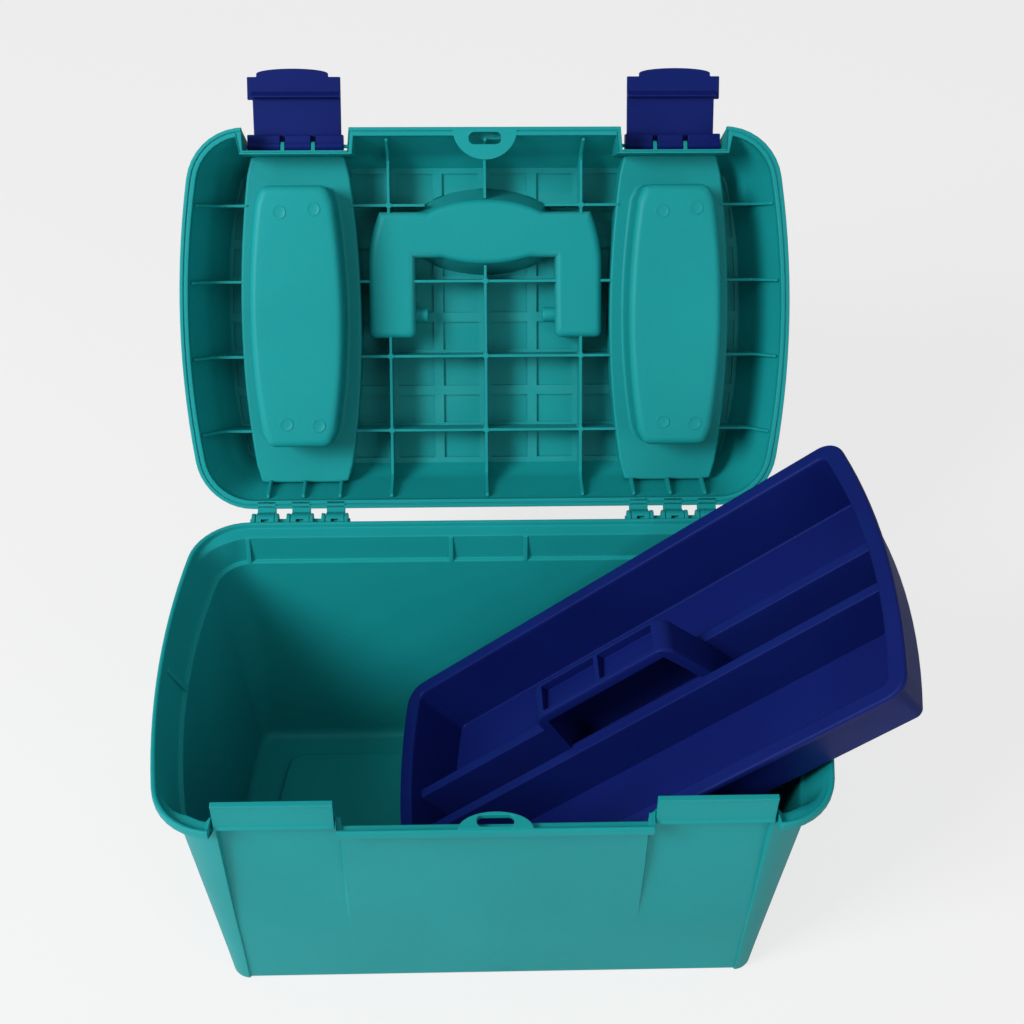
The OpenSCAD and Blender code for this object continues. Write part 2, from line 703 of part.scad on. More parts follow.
module pocket_cover(side) {
    fit = lid_wall + side_gap;
    color(blue) on_open_lid() translate([side * pocket_x, 0, 0]) difference() {
        union() {
            intersection() {
                slab_z(cover_top - cover_t, cover_top, barrel(channel_front, channel_back, channel_front_hw,
                    channel_mid_hw, channel_back_hw - cover_ease, fit));
                block([-rim_hw, -rim_hd, pocket_z], [rim_hw, cover_back, lid_top]);
            }
            for (s = [left, right]) {
                bar_x([s * cover_lug_x, cover_axis_y, cover_axis_z], 2 * cover_lug_r, cover_lug_t);
                block([s * cover_lug_x - cover_lug_t / 2, cover_axis_y - cover_lug_r, cover_axis_z],
                      [s * cover_lug_x + cover_lug_t / 2, cover_back, cover_top - cover_t / 2]);
            }
        }
        bar_x([0, cover_axis_y, cover_axis_z], cover_pin_d + 2 * run_fit, 2 * channel_mid_hw);
    }
}
module pocket_cover_left() { pocket_cover(left); }
module pocket_cover_right() { pocket_cover(right); }
module cover_pin(side) {
    color(blue) on_open_lid() bar_x([side * pocket_x, cover_axis_y, cover_axis_z], cover_pin_d, 2 * cover_pin_hl);
}
module cover_pin_left() { cover_pin(left); }
module cover_pin_right() { cover_pin(right); }

module hinge_pin(side) {
    color(teal) bar_x([side * hinge_x, axis_y, axis_z], hinge_pin_d, hinge_pin_len);
}
module hinge_pin_left() { hinge_pin(left); }
module hinge_pin_right() { hinge_pin(right); }

module tray_handle() {
    half = channel_w / 2 + edge;
    difference() {
        slab_y(-half, half, [[-grip_foot_hw, -tray_h + tray_wall / 2], [grip_foot_hw, -tray_h + tray_wall / 2],
            [grip_top_hw, grip_up], [-grip_top_hw, grip_up]]);
        slab_y(-half - over, half + over, [[-hole_low_hw, hole_z], [hole_low_hw, hole_z],
            [hole_top_hw, grip_up - grip_t], [-hole_top_hw, grip_up - grip_t]]);
        for (s = [left, right])
            translate([s * (grip_top_hw + grip_rib / 2 - grip_wall) / 2, 0, grip_up])
                cube([grip_top_hw - grip_rib / 2 - grip_wall, 2 * (half - grip_wall), 2 * grip_pocket_d],
                     center = true);
    }
}
module tray() {
    top_hl = tray_hl - tray_rim - edge;
    color(blue) translate([rim_hw - rest_in, tray_y, box_h]) rotate([tray_roll, -tray_lean, tray_turn])
    translate([-rest_along, 0, tray_h]) {
        loft([tray_ring(tray_rim + tray_draft - tray_wall + edge, -tray_h),
              tray_ring(tray_rim + tray_draft - tray_wall, -tray_h + edge),
              tray_ring(tray_rim - tray_wall, -tray_rim_t), tray_ring(0, -tray_rim_t),
              tray_ring(0, -edge / 2), tray_ring(edge / 2, 0), tray_ring(tray_rim - edge / 2, 0),
              tray_ring(tray_rim, -edge / 2), tray_ring(tray_rim + tray_draft, -tray_h + tray_wall + edge),
              tray_ring(tray_rim + tray_draft + edge, -tray_h + tray_wall)]);
        for (s = [left, right])
            translate([0, s * (channel_w + divider_t) / 2, 0])
                slab_y(-divider_t / 2, divider_t / 2,
                    [[-top_hl + divider_draft, -tray_h + tray_wall / 2],
                     [top_hl - divider_draft, -tray_h + tray_wall / 2], [top_hl, -divider_drop],
                     [-top_hl, -divider_drop]]);
        tray_handle();
    }
}

tub();
lid();
tray();
latch_left();
latch_right();
carry_handle();
pocket_cover_left();
pocket_cover_right();
hinge_pin_left();
hinge_pin_right();
latch_pin_left();
latch_pin_right();
handle_pin_left();
handle_pin_right();
cover_pin_left();
cover_pin_right();
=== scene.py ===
"""Dressed model of a horse grooming box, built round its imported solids.

Lengths are millimetres in the part's own frame until a mesh is made, and metres after that.
"""

from __future__ import annotations

import json
import logging
from dataclasses import dataclass, field, replace
from enum import Enum, IntEnum
from math import acos, asin, copysign, cos, degrees, hypot, pi, radians, sin, sqrt
from typing import Any, Callable, Iterable, Sequence

import bmesh
import bpy
from mathutils import Matrix, Vector

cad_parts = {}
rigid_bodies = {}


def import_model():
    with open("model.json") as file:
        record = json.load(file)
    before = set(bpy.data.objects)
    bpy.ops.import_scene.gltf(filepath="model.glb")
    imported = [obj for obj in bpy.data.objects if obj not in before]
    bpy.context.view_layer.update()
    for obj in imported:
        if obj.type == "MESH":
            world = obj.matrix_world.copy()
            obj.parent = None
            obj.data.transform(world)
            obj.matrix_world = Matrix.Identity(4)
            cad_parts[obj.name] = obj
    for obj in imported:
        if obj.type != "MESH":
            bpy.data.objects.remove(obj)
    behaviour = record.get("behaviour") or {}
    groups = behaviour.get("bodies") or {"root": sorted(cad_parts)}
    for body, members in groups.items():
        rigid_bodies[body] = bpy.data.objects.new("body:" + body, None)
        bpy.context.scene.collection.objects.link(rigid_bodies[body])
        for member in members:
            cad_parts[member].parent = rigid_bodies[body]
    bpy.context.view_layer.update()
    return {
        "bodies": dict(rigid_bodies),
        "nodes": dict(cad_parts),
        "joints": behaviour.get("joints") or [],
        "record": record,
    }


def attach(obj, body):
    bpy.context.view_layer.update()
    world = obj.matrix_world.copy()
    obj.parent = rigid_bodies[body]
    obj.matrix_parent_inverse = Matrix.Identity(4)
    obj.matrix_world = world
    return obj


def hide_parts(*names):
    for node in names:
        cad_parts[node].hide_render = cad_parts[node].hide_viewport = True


LOG = logging.getLogger("grooming_box")
MM = 0.001

# Shares of the way through a wall, which each ring of a shell carries as its tag
OUTSIDE = 0.0
NEAR_MIDWAY = 0.45
MIDWAY = 0.5
INSIDE = 1.0

# How far the cutter of the padlock slot reaches past the shells and past the eyes
SHELL_OVER = 2.0
EYE_OVER = 3.0

# Distances below which points and edges of a mesh are merged
MERGE_MM = 0.01
THIN_MM = 0.002

# Steps of round outlines
ARCH_STEPS = 20
ARM_STEPS = 12
BORE_STEPS = 23
DISH_STEPS = 32
EAR_STEPS = 18
EYE_STEPS = 28
GRIP_STEPS = 32
HANDLE_EYE_STEPS = 8
HANDLE_STEPS = 16
HOOK_STEPS = 20
KNUCKLE_STEPS = 10
LUG_STEPS = 14
MARK_STEPS = 28
ROD_BEND_STEPS = 3
SCOOP_STEPS = 64

Point2 = tuple[float, float]
Point3 = tuple[float, float, float]
Floats = tuple[float, ...]
Outline = list[Point2]
Piece = bpy.types.Object
Points = tuple[Point2, ...]


class Side(IntEnum):
    """The two ends of the box, as signs of X."""

    LEFT = -1
    RIGHT = 1

    @property
    def label(self) -> str:
        """Lower-case name used in piece names."""
        return self.name.lower()


class Axis(Enum):
    """Axis that a flat profile is swept along."""

    X = 0
    Y = 1
    Z = 2


class Slot(Enum):
    """Material slots of the record."""

    TEAL = "teal_plastic"
    BLUE = "blue_plastic"


# Mesh tools


def new_object(name: str, data: Any) -> Piece:
    """Makes an object and links it to the scene."""
    obj = bpy.data.objects.new(name, data)
    bpy.context.scene.collection.objects.link(obj)
    return obj


def make_object(name: str, points: Sequence[Point3], faces: Sequence[Sequence[int]]) -> Piece:
    """Makes a mesh object from points in millimetres.

    Args:
        name: Name of the object.
        points: Corner points in millimetres.
        faces: Lists of point indices.

    Returns:
        The new object, linked to the scene, with outward normals.
    """
    mesh = bpy.data.meshes.new(name)
    mesh.from_pydata([Vector(p) * MM for p in points], [], [list(f) for f in faces])
    bm = bmesh.new()
    bm.from_mesh(mesh)
    bmesh.ops.remove_doubles(bm, verts=bm.verts, dist=MERGE_MM * MM)
    bmesh.ops.dissolve_degenerate(bm, dist=THIN_MM * MM, edges=bm.edges)
    bmesh.ops.recalc_face_normals(bm, faces=bm.faces)
    bm.to_mesh(mesh)
    bm.free()
    return new_object(name, mesh)


def loft(name: str, rings: Sequence[Sequence[Point3]]) -> Piece:
    """Makes a closed solid through a stack of rings with equal numbers of points.

    Args:
        name: Name of the object.
        rings: Closed rings, from one cap to the other.

    Returns:
        The lofted object.
    """
    count = len(rings[0])
    points = [p for ring in rings for p in ring]
    faces: list[list[int]] = []
    for k in range(len(rings) - 1):
        for i in range(count):
            j = (i + 1) % count
            faces.append([k * count + i, k * count + j, (k + 1) * count + j, (k + 1) * count + i])
    last = (len(rings) - 1) * count
    faces.append(list(range(count)))
    faces.append([last + i for i in range(count)])
    return make_object(name, points, faces)


def swept_point(axis: Axis, along: float, point: Point2) -> Point3:
    """Places a profile point on a sweep axis; X takes (y, z), Y takes (x, z) and Z takes (x, y)."""
    a, b = point
    return {Axis.X: (along, a, b), Axis.Y: (a, along, b), Axis.Z: (a, b, along)}[axis]


def prism(name: str, axis: Axis, low: float, high: float, outline: Sequence[Point2]) -> Piece:
    """Sweeps a flat outline straight along an axis.

    Args:
        name: Name of the object.
        axis: Sweep axis.
        low: Start of the sweep.
        high: End of the sweep.
        outline: Closed outline in the plane across the axis.

    Returns:
        The prism.
    """
    return loft(name, [[swept_point(axis, t, p) for p in outline] for t in (low, high)])


def lattice(name: str, columns: Sequence[Point2], rows: Sequence[Point2], low: float, high: float,
            place: Callable[[float, float], float] | None = None) -> Piece:
    """Slab with a grid of rectangular windows.

    Args:
        name: Name of the object.
        columns: X ranges of the bars that run along Y, in order.
        rows: Y ranges of the bars that run along X, in order.
        low: Underside of the slab.
        high: Top of the slab.
        place: Gives the real x of a point from its x and y; None leaves x as it is.

    Returns:
        The slab.
    """
    xs = [x for pair in columns for x in pair]
    ys = [y for pair in rows for y in pair]
    points = [(place(x, y) if place else x, y, z) for z in (low, high) for y in ys for x in xs]
    across, layer = len(xs), len(xs) * len(ys)

    def solid(i: int, j: int) -> bool:
        """Whether a cell of the grid is part of a bar."""
        inside = 0 <= i < len(xs) - 1 and 0 <= j < len(ys) - 1
        return inside and (i % 2 == 0 or j % 2 == 0)

    faces: list[list[int]] = []
    for j in range(len(ys) - 1):
        for i in range(len(xs) - 1):
            if not solid(i, j):
                continue
            a, b = j * across + i, j * across + i + 1
            c, d = b + across, a + across
            faces += [[a, d, c, b], [a + layer, b + layer, c + layer, d + layer]]
            sides = ((i, j - 1, a, b), (i + 1, j, b, c), (i, j + 1, c, d), (i - 1, j, d, a))
            faces += [[m, n, n + layer, m + layer] for p, q, m, n in sides if not solid(p, q)]
    return make_object(name, points, faces)


def join(name: str, parts: Iterable[Piece]) -> Piece:
    """Gathers several meshes into one object without cutting them.

    Args:
        name: Name of the new object.
        parts: Objects to gather; they are removed.

    Returns:
        The gathered object.
    """
    bm = bmesh.new()
    for part in list(parts):
        bm.from_mesh(part.data)
        bpy.data.objects.remove(part)
    mesh = bpy.data.meshes.new(name)
    bm.to_mesh(mesh)
    bm.free()
    return new_object(name, mesh)


def settle(obj: Piece) -> Piece:
    """Applies an object's modifiers to its mesh and returns the object."""
    graph = bpy.context.evaluated_depsgraph_get()
    mesh = bpy.data.meshes.new_from_object(obj.evaluated_get(graph))
    obj.modifiers.clear()
    obj.data = mesh
    return obj


def combine(obj: Piece, others: Sequence[Piece], how: str) -> Piece:
    """Cuts or adds closed solids with exact booleans.

    Args:
        obj: Solid that is kept.
        others: Solids to cut away or to add; they are removed.
        how: Boolean operation, DIFFERENCE or UNION.

    Returns:
        The kept solid with its new mesh.
    """
    for other in others:
        step = obj.modifiers.new("combine", "BOOLEAN")
        step.operation = how
        step.solver = "EXACT"
        step.object = other
    settle(obj)
    for other in others:
        bpy.data.objects.remove(other)
    return obj


def soften(obj: Piece, width: float = 0.5, segments: int = 2,
           angle: float = 32.0) -> Piece:
    """Rounds the sharp edges of a mesh and smooths its shading.

    Args:
        obj: Object to dress.
        width: Width of the rounding in millimetres.
        segments: Segments across the rounding.
        angle: Least angle between two faces, in degrees, at which their edge is rounded.

    Returns:
        The same object.
    """
    obj.data.shade_smooth()
    edge = obj.modifiers.new("soft_edges", "BEVEL")
    edge.width = width * MM
    edge.segments = segments
    edge.limit_method = "ANGLE"
    edge.angle_limit = radians(angle)
    edge.use_clamp_overlap = True
    normals = obj.modifiers.new("even_shading", "WEIGHTED_NORMAL")
    normals.keep_sharp = True
    return obj


def quarter_turn(steps: int) -> list[float]:
    """Angles of a quarter turn, both ends included."""
    return [radians(90 * i / steps) for i in range(steps + 1)]


def full_turn(steps: int) -> list[float]:
    """Angles of a full turn, without its end."""
    return [2 * pi * i / steps for i in range(steps)]


def circle(centre: Point2, radius: float, start: float, end: float, steps: int) -> Outline:
    """Points on an arc from one angle to another, both in degrees."""
    turns = [radians(start + (end - start) * i / steps) for i in range(steps + 1)]
    return [(centre[0] + radius * cos(a), centre[1] + radius * sin(a)) for a in turns]


def rounded_box(low: Point2, high: Point2, radius: float, steps: int = 5) -> Outline:
    """Outline of a rectangle with round corners."""
    (x0, y0), (x1, y1) = low, high
    r = radius
    return (circle((x1 - r, y0 + r), r, -90, 0, steps) + circle((x1 - r, y1 - r), r, 0, 90, steps)
            + circle((x0 + r, y1 - r), r, 90, 180, steps) + circle((x0 + r, y0 + r), r, 180, 270, steps))


def rod(name: str, start: Point3, length: float, radius: float, edge: float,
        steps: int = 32) -> Piece:
    """Round bar along X with rounded ends.

    Args:
        name: Name of the object.
        start: Middle of its low end.
        length: Length along X.
        radius: Radius of the bar.
        edge: Radius of the rounding at both ends.
        steps: Points round the bar.

    Returns:
        The bar.
    """
    x, y, z = start
    bends = quarter_turn(ROD_BEND_STEPS)
    low = [(x + edge - edge * cos(a), radius - edge + edge * sin(a)) for a in bends]
    high = [(2 * x + length - along, r) for along, r in reversed(low)]
    rings = [[(along, y + r * cos(a), z + r * sin(a)) for a in full_turn(steps)]
             for along, r in low + high]
    return loft(name, rings)


# Rings of the moulded shells


@dataclass(frozen=True)
class Ring:
    """Plan outline with straight long sides, bowed ends and round corners, at one height."""

    hw: float
    hd: float
    bow: float
    r: float
    z: float
    tag: float = OUTSIDE
    span: float = 1.0

    def mix(self, other: Ring, t: float) -> Ring:
        """Ring at share t of the way to another one."""
        mine, theirs = vars(self).values(), vars(other).values()
        return Ring(*[a + (b - a) * t for a, b in zip(mine, theirs)])

    def apart(self, other: Ring) -> float:
        """Distance between two rings along the profile."""
        return hypot(self.hd - other.hd, self.z - other.z)

    @property
    def end_r(self) -> float:
        """Radius of the bowed ends."""
        return (self.hd**2 + self.bow**2) / (2 * self.bow)

    @property
    def corner_x(self) -> float:
        """Distance of the corner centres from the middle."""
        return self.hw - self.end_r + sqrt((self.end_r - self.r) ** 2 - (self.hd - self.r) ** 2)

    @property
    def reach(self) -> float:
        """Share by which the front columns are drawn in to stay on the straight side."""
        return min(self.span, (self.corner_x - FRONT_MARGIN) / FRONT_STATIONS[0])

    @property
    def corner_reach(self) -> float:
        """Share by which the corner columns are drawn in to stay on the corner."""
        return min(self.span, (self.corner_x + CORNER_SHARE * self.r) / CORNER_STATIONS[-1])


FRONT_STATIONS = (150, 138, 122.5, 107, 89.0, 87.8, 86.2, 85.0, 64, 45, 30, 17.6, 16.2, 8)
CORNER_STATIONS = (155.2, 156.4, 157.0, 158.2, 160.5)
TIGHT_CORNER = 22.0
FRONT_MARGIN = 1.0
CORNER_SHARE = 0.62
LARGEST_CUT = 0.48
FRONT_ARC_STEPS = 8
BACK_ARC_STEPS = 10
BOW_STEPS = 14
BACK_STATIONS = (140, 105, 70, 35)


def ring_points(ring: Ring) -> Outline:
    """Outline of a ring, from the left of the front round the right end, the back and the left end."""
    rs, fx = ring.end_r, ring.corner_x
    cx = ring.hw - rs
    phi = degrees(asin((ring.hd - ring.r) / (rs - ring.r)))
    corner = 90 - phi
    front = [x * ring.reach for x in FRONT_STATIONS]
    xs = [-x for x in front] + [0.0] + front[::-1]
    squeeze = min(1.0, ring.r / TIGHT_CORNER)
    right, turn = [], 0.0
    for station in CORNER_STATIONS:
        x = station * ring.corner_reach
        past = max(x - fx, 0.0) * squeeze
        turn = degrees(asin(past / ring.r))
        right.append((min(x, fx) + past, ring.r - ring.hd - ring.r * cos(radians(turn))))
    turns = [turn + (corner - turn) * i / FRONT_ARC_STEPS for i in range(1, FRONT_ARC_STEPS + 1)]
    right += [(fx + ring.r * sin(radians(a)),
               ring.r - ring.hd - ring.r * cos(radians(a))) for a in turns]
    right += [(cx + rs * cos(radians(a)), rs * sin(radians(a)))
              for a in (-phi + 2 * phi * i / BOW_STEPS for i in range(1, BOW_STEPS))]
    back_turn = [phi + corner * i / BACK_ARC_STEPS for i in range(BACK_ARC_STEPS + 1)]
    right += [(fx + ring.r * cos(radians(a)),
               ring.hd - ring.r + ring.r * sin(radians(a))) for a in back_turn]
    back = [x * ring.reach for x in BACK_STATIONS]
    rear = back + [0.0] + [-x for x in reversed(back)]
    return ([(x, -ring.hd) for x in xs] + right + [(x, ring.hd) for x in rear]
            + [(-x, y) for x, y in reversed(right)])


def rounded_profile(stops: Sequence[tuple[Ring, float]], steps: int = 3) -> list[Ring]:
    """Rounds the corners of a profile that is given as rings.

    Args:
        stops: Rings with the rounding radius at each.
        steps: Steps across each rounding.

    Returns:
        The rings with extra ones at each rounded corner.
    """
    out: list[Ring] = []
    for k, (ring, radius) in enumerate(stops):
        if radius <= 0 or k in (0, len(stops) - 1):
            out.append(ring)
            continue
        before, after = stops[k - 1][0], stops[k + 1][0]
        cut_in = min(radius / max(ring.apart(before), THIN_MM), LARGEST_CUT)
        cut_out = min(radius / max(ring.apart(after), THIN_MM), LARGEST_CUT)
        start, end = ring.mix(before, cut_in), ring.mix(after, cut_out)
        for i in range(steps + 1):
            t = i / steps
            out.append(start.mix(ring, t).mix(ring.mix(end, t), t))
    return out


# Finishes


@dataclass(frozen=True)
class PlasticFinish:
    """Look of one moulded plastic."""

    name: str
    slot: Slot
    colour: Point3
    shade: Point3
    # Worn-edge colour; along convex edges it is also a painted highlight
    rub: Point3
    roughness: float
    grain: float
    # How strongly the worn-edge colour and its painted highlight show
    rub_amount: float
    sheen: Point3


# The third colour of each finish lightens worn edges and scuffs; along convex edges it is also a painted
# highlight.
TEAL = PlasticFinish("teal_moulding", Slot.TEAL, (0.0100, 0.340, 0.352), (0.0080, 0.305, 0.316),
                     (0.10, 0.47, 0.47), 0.44, 0.10, 0.20, (0.75, 1.0, 1.0))
BLUE = PlasticFinish("blue_moulding", Slot.BLUE, (0.0065, 0.0150, 0.152), (0.0050, 0.0115, 0.124),
                     (0.014, 0.048, 0.28), 0.44, 0.10, 0.25, (0.40, 0.58, 1.0))
WHITE = (1.0, 1.0, 1.0, 1.0)


class NodeDesk:
    """Adds and links the nodes of one shader tree."""

    def __init__(self, tree: Any) -> None:
        """Keeps the tree."""
        self.tree = tree

    def add(self, kind: str, inputs: dict[str | int, Any] | None = None, **settings: Any) -> Any:
        """Adds a node.

        Args:
            kind: Kind of shader node.
            inputs: Values of its inputs by name or number.
            settings: Values of its own settings.

        Returns:
            The node.
        """
        node = self.tree.nodes.new(f"ShaderNode{kind}")
        for name, value in settings.items():
            setattr(node, name, value)
        self.fill(node, inputs or {})
        return node

    @staticmethod
    def fill(node: Any, inputs: dict[str | int, Any]) -> None:
        """Sets the values of a node's inputs."""
        for socket, value in inputs.items():
            node.inputs[socket].default_value = value

    def link(self, source: Any, output: str | int, target: Any, socket: str | int) -> None:
        """Links an output of one node to an input of another."""
        self.tree.links.new(source.outputs[output], target.inputs[socket])


class PlasticShop:
    """Builds the shared node groups once and makes the plastics from them."""

    def __init__(self) -> None:
        """Builds the node groups."""
        self.grain = self._grain_group()
        self.tint = self._tint_group()
        self.rub = self._rub_group()
        self.made: dict[str, bpy.types.Material] = {}

    @staticmethod
    def _group(name: str, inputs: dict[str, tuple[str, Any]],
               outputs: dict[str, str]) -> tuple[NodeDesk, Any, Any]:
        """Starts a shader group.

        Args:
            name: Name of the group.
            inputs: Socket kinds and defaults by name.
            outputs: Socket kinds by name.

        Returns:
            Its desk, its input node and its output node.
        """
        tree = bpy.data.node_groups.new(name, "ShaderNodeTree")
        for label, (kind, value) in inputs.items():
            socket = tree.interface.new_socket(label, in_out="INPUT", socket_type=kind)
            socket.default_value = value
        for label, kind in outputs.items():
            tree.interface.new_socket(label, in_out="OUTPUT", socket_type=kind)
        start, end = tree.nodes.new("NodeGroupInput"), tree.nodes.new("NodeGroupOutput")
        return NodeDesk(tree), start, end

    def _grain_group(self) -> Any:
        """Fine eroded grain of a moulding tool: a height and a roughness."""
        desk, start, end = self._group(
            "moulding_grain",
            {"Scale": ("NodeSocketFloat", 2200.0), "Roughness": ("NodeSocketFloat", 0.36),
             "Spread": ("NodeSocketFloat", 0.10)},
            {"Height": "NodeSocketFloat", "Roughness": "NodeSocketFloat"})
        place = desk.add("TexCoord")
        fine = desk.add("TexNoise", {"Detail": 2.0})
        desk.link(place, "Object", fine, "Vector")
        desk.link(start, "Scale", fine, "Scale")
        broad = desk.add("TexNoise", {"Scale": 38.0, "Detail": 4.0})
        desk.link(place, "Object", broad, "Vector")
        centre = desk.add("Math", {1: 0.5}, operation="SUBTRACT")
        desk.link(broad, "Fac", centre, 0)
        spread = desk.add("Math", operation="MULTIPLY_ADD")
        desk.link(centre, 0, spread, 0)
        desk.link(start, "Spread", spread, 1)
        desk.link(start, "Roughness", spread, 2)
        desk.link(fine, "Fac", end, "Height")
        desk.link(spread, 0, end, "Roughness")
        return desk.tree

    def _tint_group(self) -> Any:
        """Slow drift of the pigment, with faint flow marks, between two colours."""
        desk, start, end = self._group(
            "pigment_drift",
            {"Colour": ("NodeSocketColor", WHITE), "Shade": ("NodeSocketColor", WHITE)},
            {"Colour": "NodeSocketColor"})
        place = desk.add("TexCoord")
        drift = desk.add("TexNoise", {"Scale": 9.0, "Detail": 3.0, "Distortion": 0.6})
        desk.link(place, "Object", drift, "Vector")
        speck = desk.add("TexNoise", {"Scale": 420.0})
        desk.link(place, "Object", speck, "Vector")
        both = desk.add("Math", {1: 0.22}, operation="MULTIPLY_ADD")
        desk.link(speck, "Fac", both, 0)
        desk.link(drift, "Fac", both, 2)
        ease = desk.add("MapRange", {"From Min": 0.45, "From Max": 0.85})
        desk.link(both, 0, ease, "Value")
        mix = desk.add("Mix", data_type="RGBA")
        desk.link(ease, "Result", mix, "Factor")
        desk.link(start, "Colour", mix, "A")
        desk.link(start, "Shade", mix, "B")
        desk.link(mix, "Result", end, "Colour")
        return desk.tree

    def _rub_group(self) -> Any:
        """Worn edges and fine scuffs, with painted highlights along the convex edges: lightens a colour and
        gives the mask.
        """
        desk, start, end = self._group(
            "rubbed_edges",
            {"Colour": ("NodeSocketColor", WHITE), "Rub": ("NodeSocketColor", WHITE),
             "Amount": ("NodeSocketFloat", 0.3)},
            {"Colour": "NodeSocketColor", "Mask": "NodeSocketFloat"})
        place = desk.add("TexCoord")
        shape = desk.add("NewGeometry")
        # Convex edges found by pointiness, lightened partly as wear and partly as a painted highlight
        edge = desk.add("MapRange", {"From Min": 0.53, "From Max": 0.66})
        desk.link(shape, "Pointiness", edge, "Value")
        break_up = desk.add("TexNoise", {"Scale": 70.0, "Detail": 5.0})
        desk.link(place, "Object", break_up, "Vector")
        worn_and_lit = desk.add("Math", operation="MULTIPLY")
        desk.link(edge, "Result", worn_and_lit, 0)
        desk.link(break_up, "Fac", worn_and_lit, 1)
        stretch = desk.add("Mapping", {"Scale": (26.0, 170.0, 60.0), "Rotation": (0.5, 0.3, 0.7)})
        desk.link(place, "Object", stretch, "Vector")
        lines = desk.add("TexNoise", {"Scale": 4.0, "Detail": 6.0})
        desk.link(stretch, "Vector", lines, "Vector")
        scuff = desk.add("MapRange", {"From Min": 0.66, "From Max": 0.80, "To Max": 0.35})
        desk.link(lines, "Fac", scuff, "Value")
        most = desk.add("Math", operation="MAXIMUM")
        desk.link(worn_and_lit, 0, most, 0)
        desk.link(scuff, "Result", most, 1)
        amount = desk.add("Math", operation="MULTIPLY", use_clamp=True)
        desk.link(most, 0, amount, 0)
        desk.link(start, "Amount", amount, 1)
        mix = desk.add("Mix", data_type="RGBA")
        desk.link(amount, 0, mix, "Factor")
        desk.link(start, "Colour", mix, "A")
        desk.link(start, "Rub", mix, "B")
        desk.link(mix, "Result", end, "Colour")
        desk.link(amount, 0, end, "Mask")
        return desk.tree

    def plastic(self, finish: PlasticFinish) -> bpy.types.Material:
        """Makes the material of a finish, once.

        Args:
            finish: Look of the plastic.

        Returns:
            Its material.
        """
        if finish.name in self.made:
            return self.made[finish.name]
        material = bpy.data.materials.new(finish.name)
        material.use_nodes = True
        desk, shader = NodeDesk(material.node_tree), material.node_tree.nodes["Principled BSDF"]
        desk.fill(shader, {"IOR": 1.47, "Specular Tint": (*finish.sheen, 1.0), "Specular IOR Level": 0.20})
        tint = desk.add("Group", node_tree=self.tint)
        desk.fill(tint, {"Colour": (*finish.colour, 1.0), "Shade": (*finish.shade, 1.0)})
        # Worn edges and scuffs, lightened partly as wear and partly as a painted highlight along convex
        # edges
        rub = desk.add("Group", node_tree=self.rub)
        desk.fill(rub, {"Rub": (*finish.rub, 1.0), "Amount": finish.rub_amount})
        desk.link(tint, "Colour", rub, "Colour")
        desk.link(rub, "Colour", shader, "Base Color")
        grain = desk.add("Group", node_tree=self.grain)
        desk.fill(grain, {"Roughness": finish.roughness, "Spread": finish.grain})
        rough = desk.add("Math", {1: 0.25}, operation="MULTIPLY_ADD")
        desk.link(rub, "Mask", rough, 0)
        desk.link(grain, "Roughness", rough, 2)
        desk.link(rough, 0, shader, "Roughness")
        bump = desk.add("Bump", {"Strength": 0.06, "Distance": 0.0002})
        desk.link(grain, "Height", bump, "Height")
        desk.link(bump, "Normal", shader, "Normal")
        self.made[finish.name] = material
        return material


# The box's shared sizes


@dataclass(frozen=True)
class BoxSizes:
    """Sizes that the tub and the lid share."""

    rim_hw: float = 200.0
    rim_hd: float = 124.0
    end_bow: float = 13.0
    rim_r: float = 38.0
    box_h: float = 187.0
    least_r: float = 8.0
    front_band: float = 2.5
    latch_x: float = 122.5
    latch_y: float = -113.2
    latch_up: float = 24.0
    hinge_x: float = 124.0
    hook_pitch: float = 22.9
    axis_y: float = 131.4
    axis_z: float = 179.5
    lid_open: float = 124.1
    eye_hw: float = 21.0
    slot_hw: float = 10.4
    slot_front: float = -120.7
    slot_back: float = -113.1
    slot_r: float = 3.2

    def rim(self, inset: float, z: float, tag: float = OUTSIDE) -> Ring:
        """Ring that follows the rim at an inset."""
        return Ring(self.rim_hw - inset, self.rim_hd - inset, self.end_bow,
                    max(self.rim_r - inset, self.least_r), z, tag)

    def stations(self) -> Outline:
        """Points of the outer rim, which name each column of a shell."""
        return ring_points(self.rim(0.0, 0.0))

    def at_front(self, station: Point2) -> bool:
        """Whether a point of the outer rim lies on the front."""
        return station[1] <= self.front_band - self.rim_hd

    def hook_places(self, side: Side) -> list[float]:
        """Middles of the hinge hooks on one side."""
        return [side * self.hinge_x + hook * self.hook_pitch for hook in (-1, 0, 1)]

    def slot_outline(self) -> Outline:
        """Outline of the padlock slot."""
        return rounded_box((-self.slot_hw, self.slot_front), (self.slot_hw, self.slot_back), self.slot_r)

    def eye_outline(self, y: float, reach: float) -> Outline:
        """Half oval of a padlock eye that reaches back from a line at y."""
        turns = [pi * i / EYE_STEPS for i in range(EYE_STEPS + 1)]
        return [(self.eye_hw * cos(a), y + reach * sin(a)) for a in turns]

    def opened(self) -> Matrix:
        """Turn from the closed lid to the lid as it stands open."""
        at = Vector((0, self.axis_y, self.axis_z)) * MM
        turn = Matrix.Rotation(radians(-self.lid_open), 4, "X")
        return Matrix.Translation(at) @ turn @ Matrix.Translation(-at)


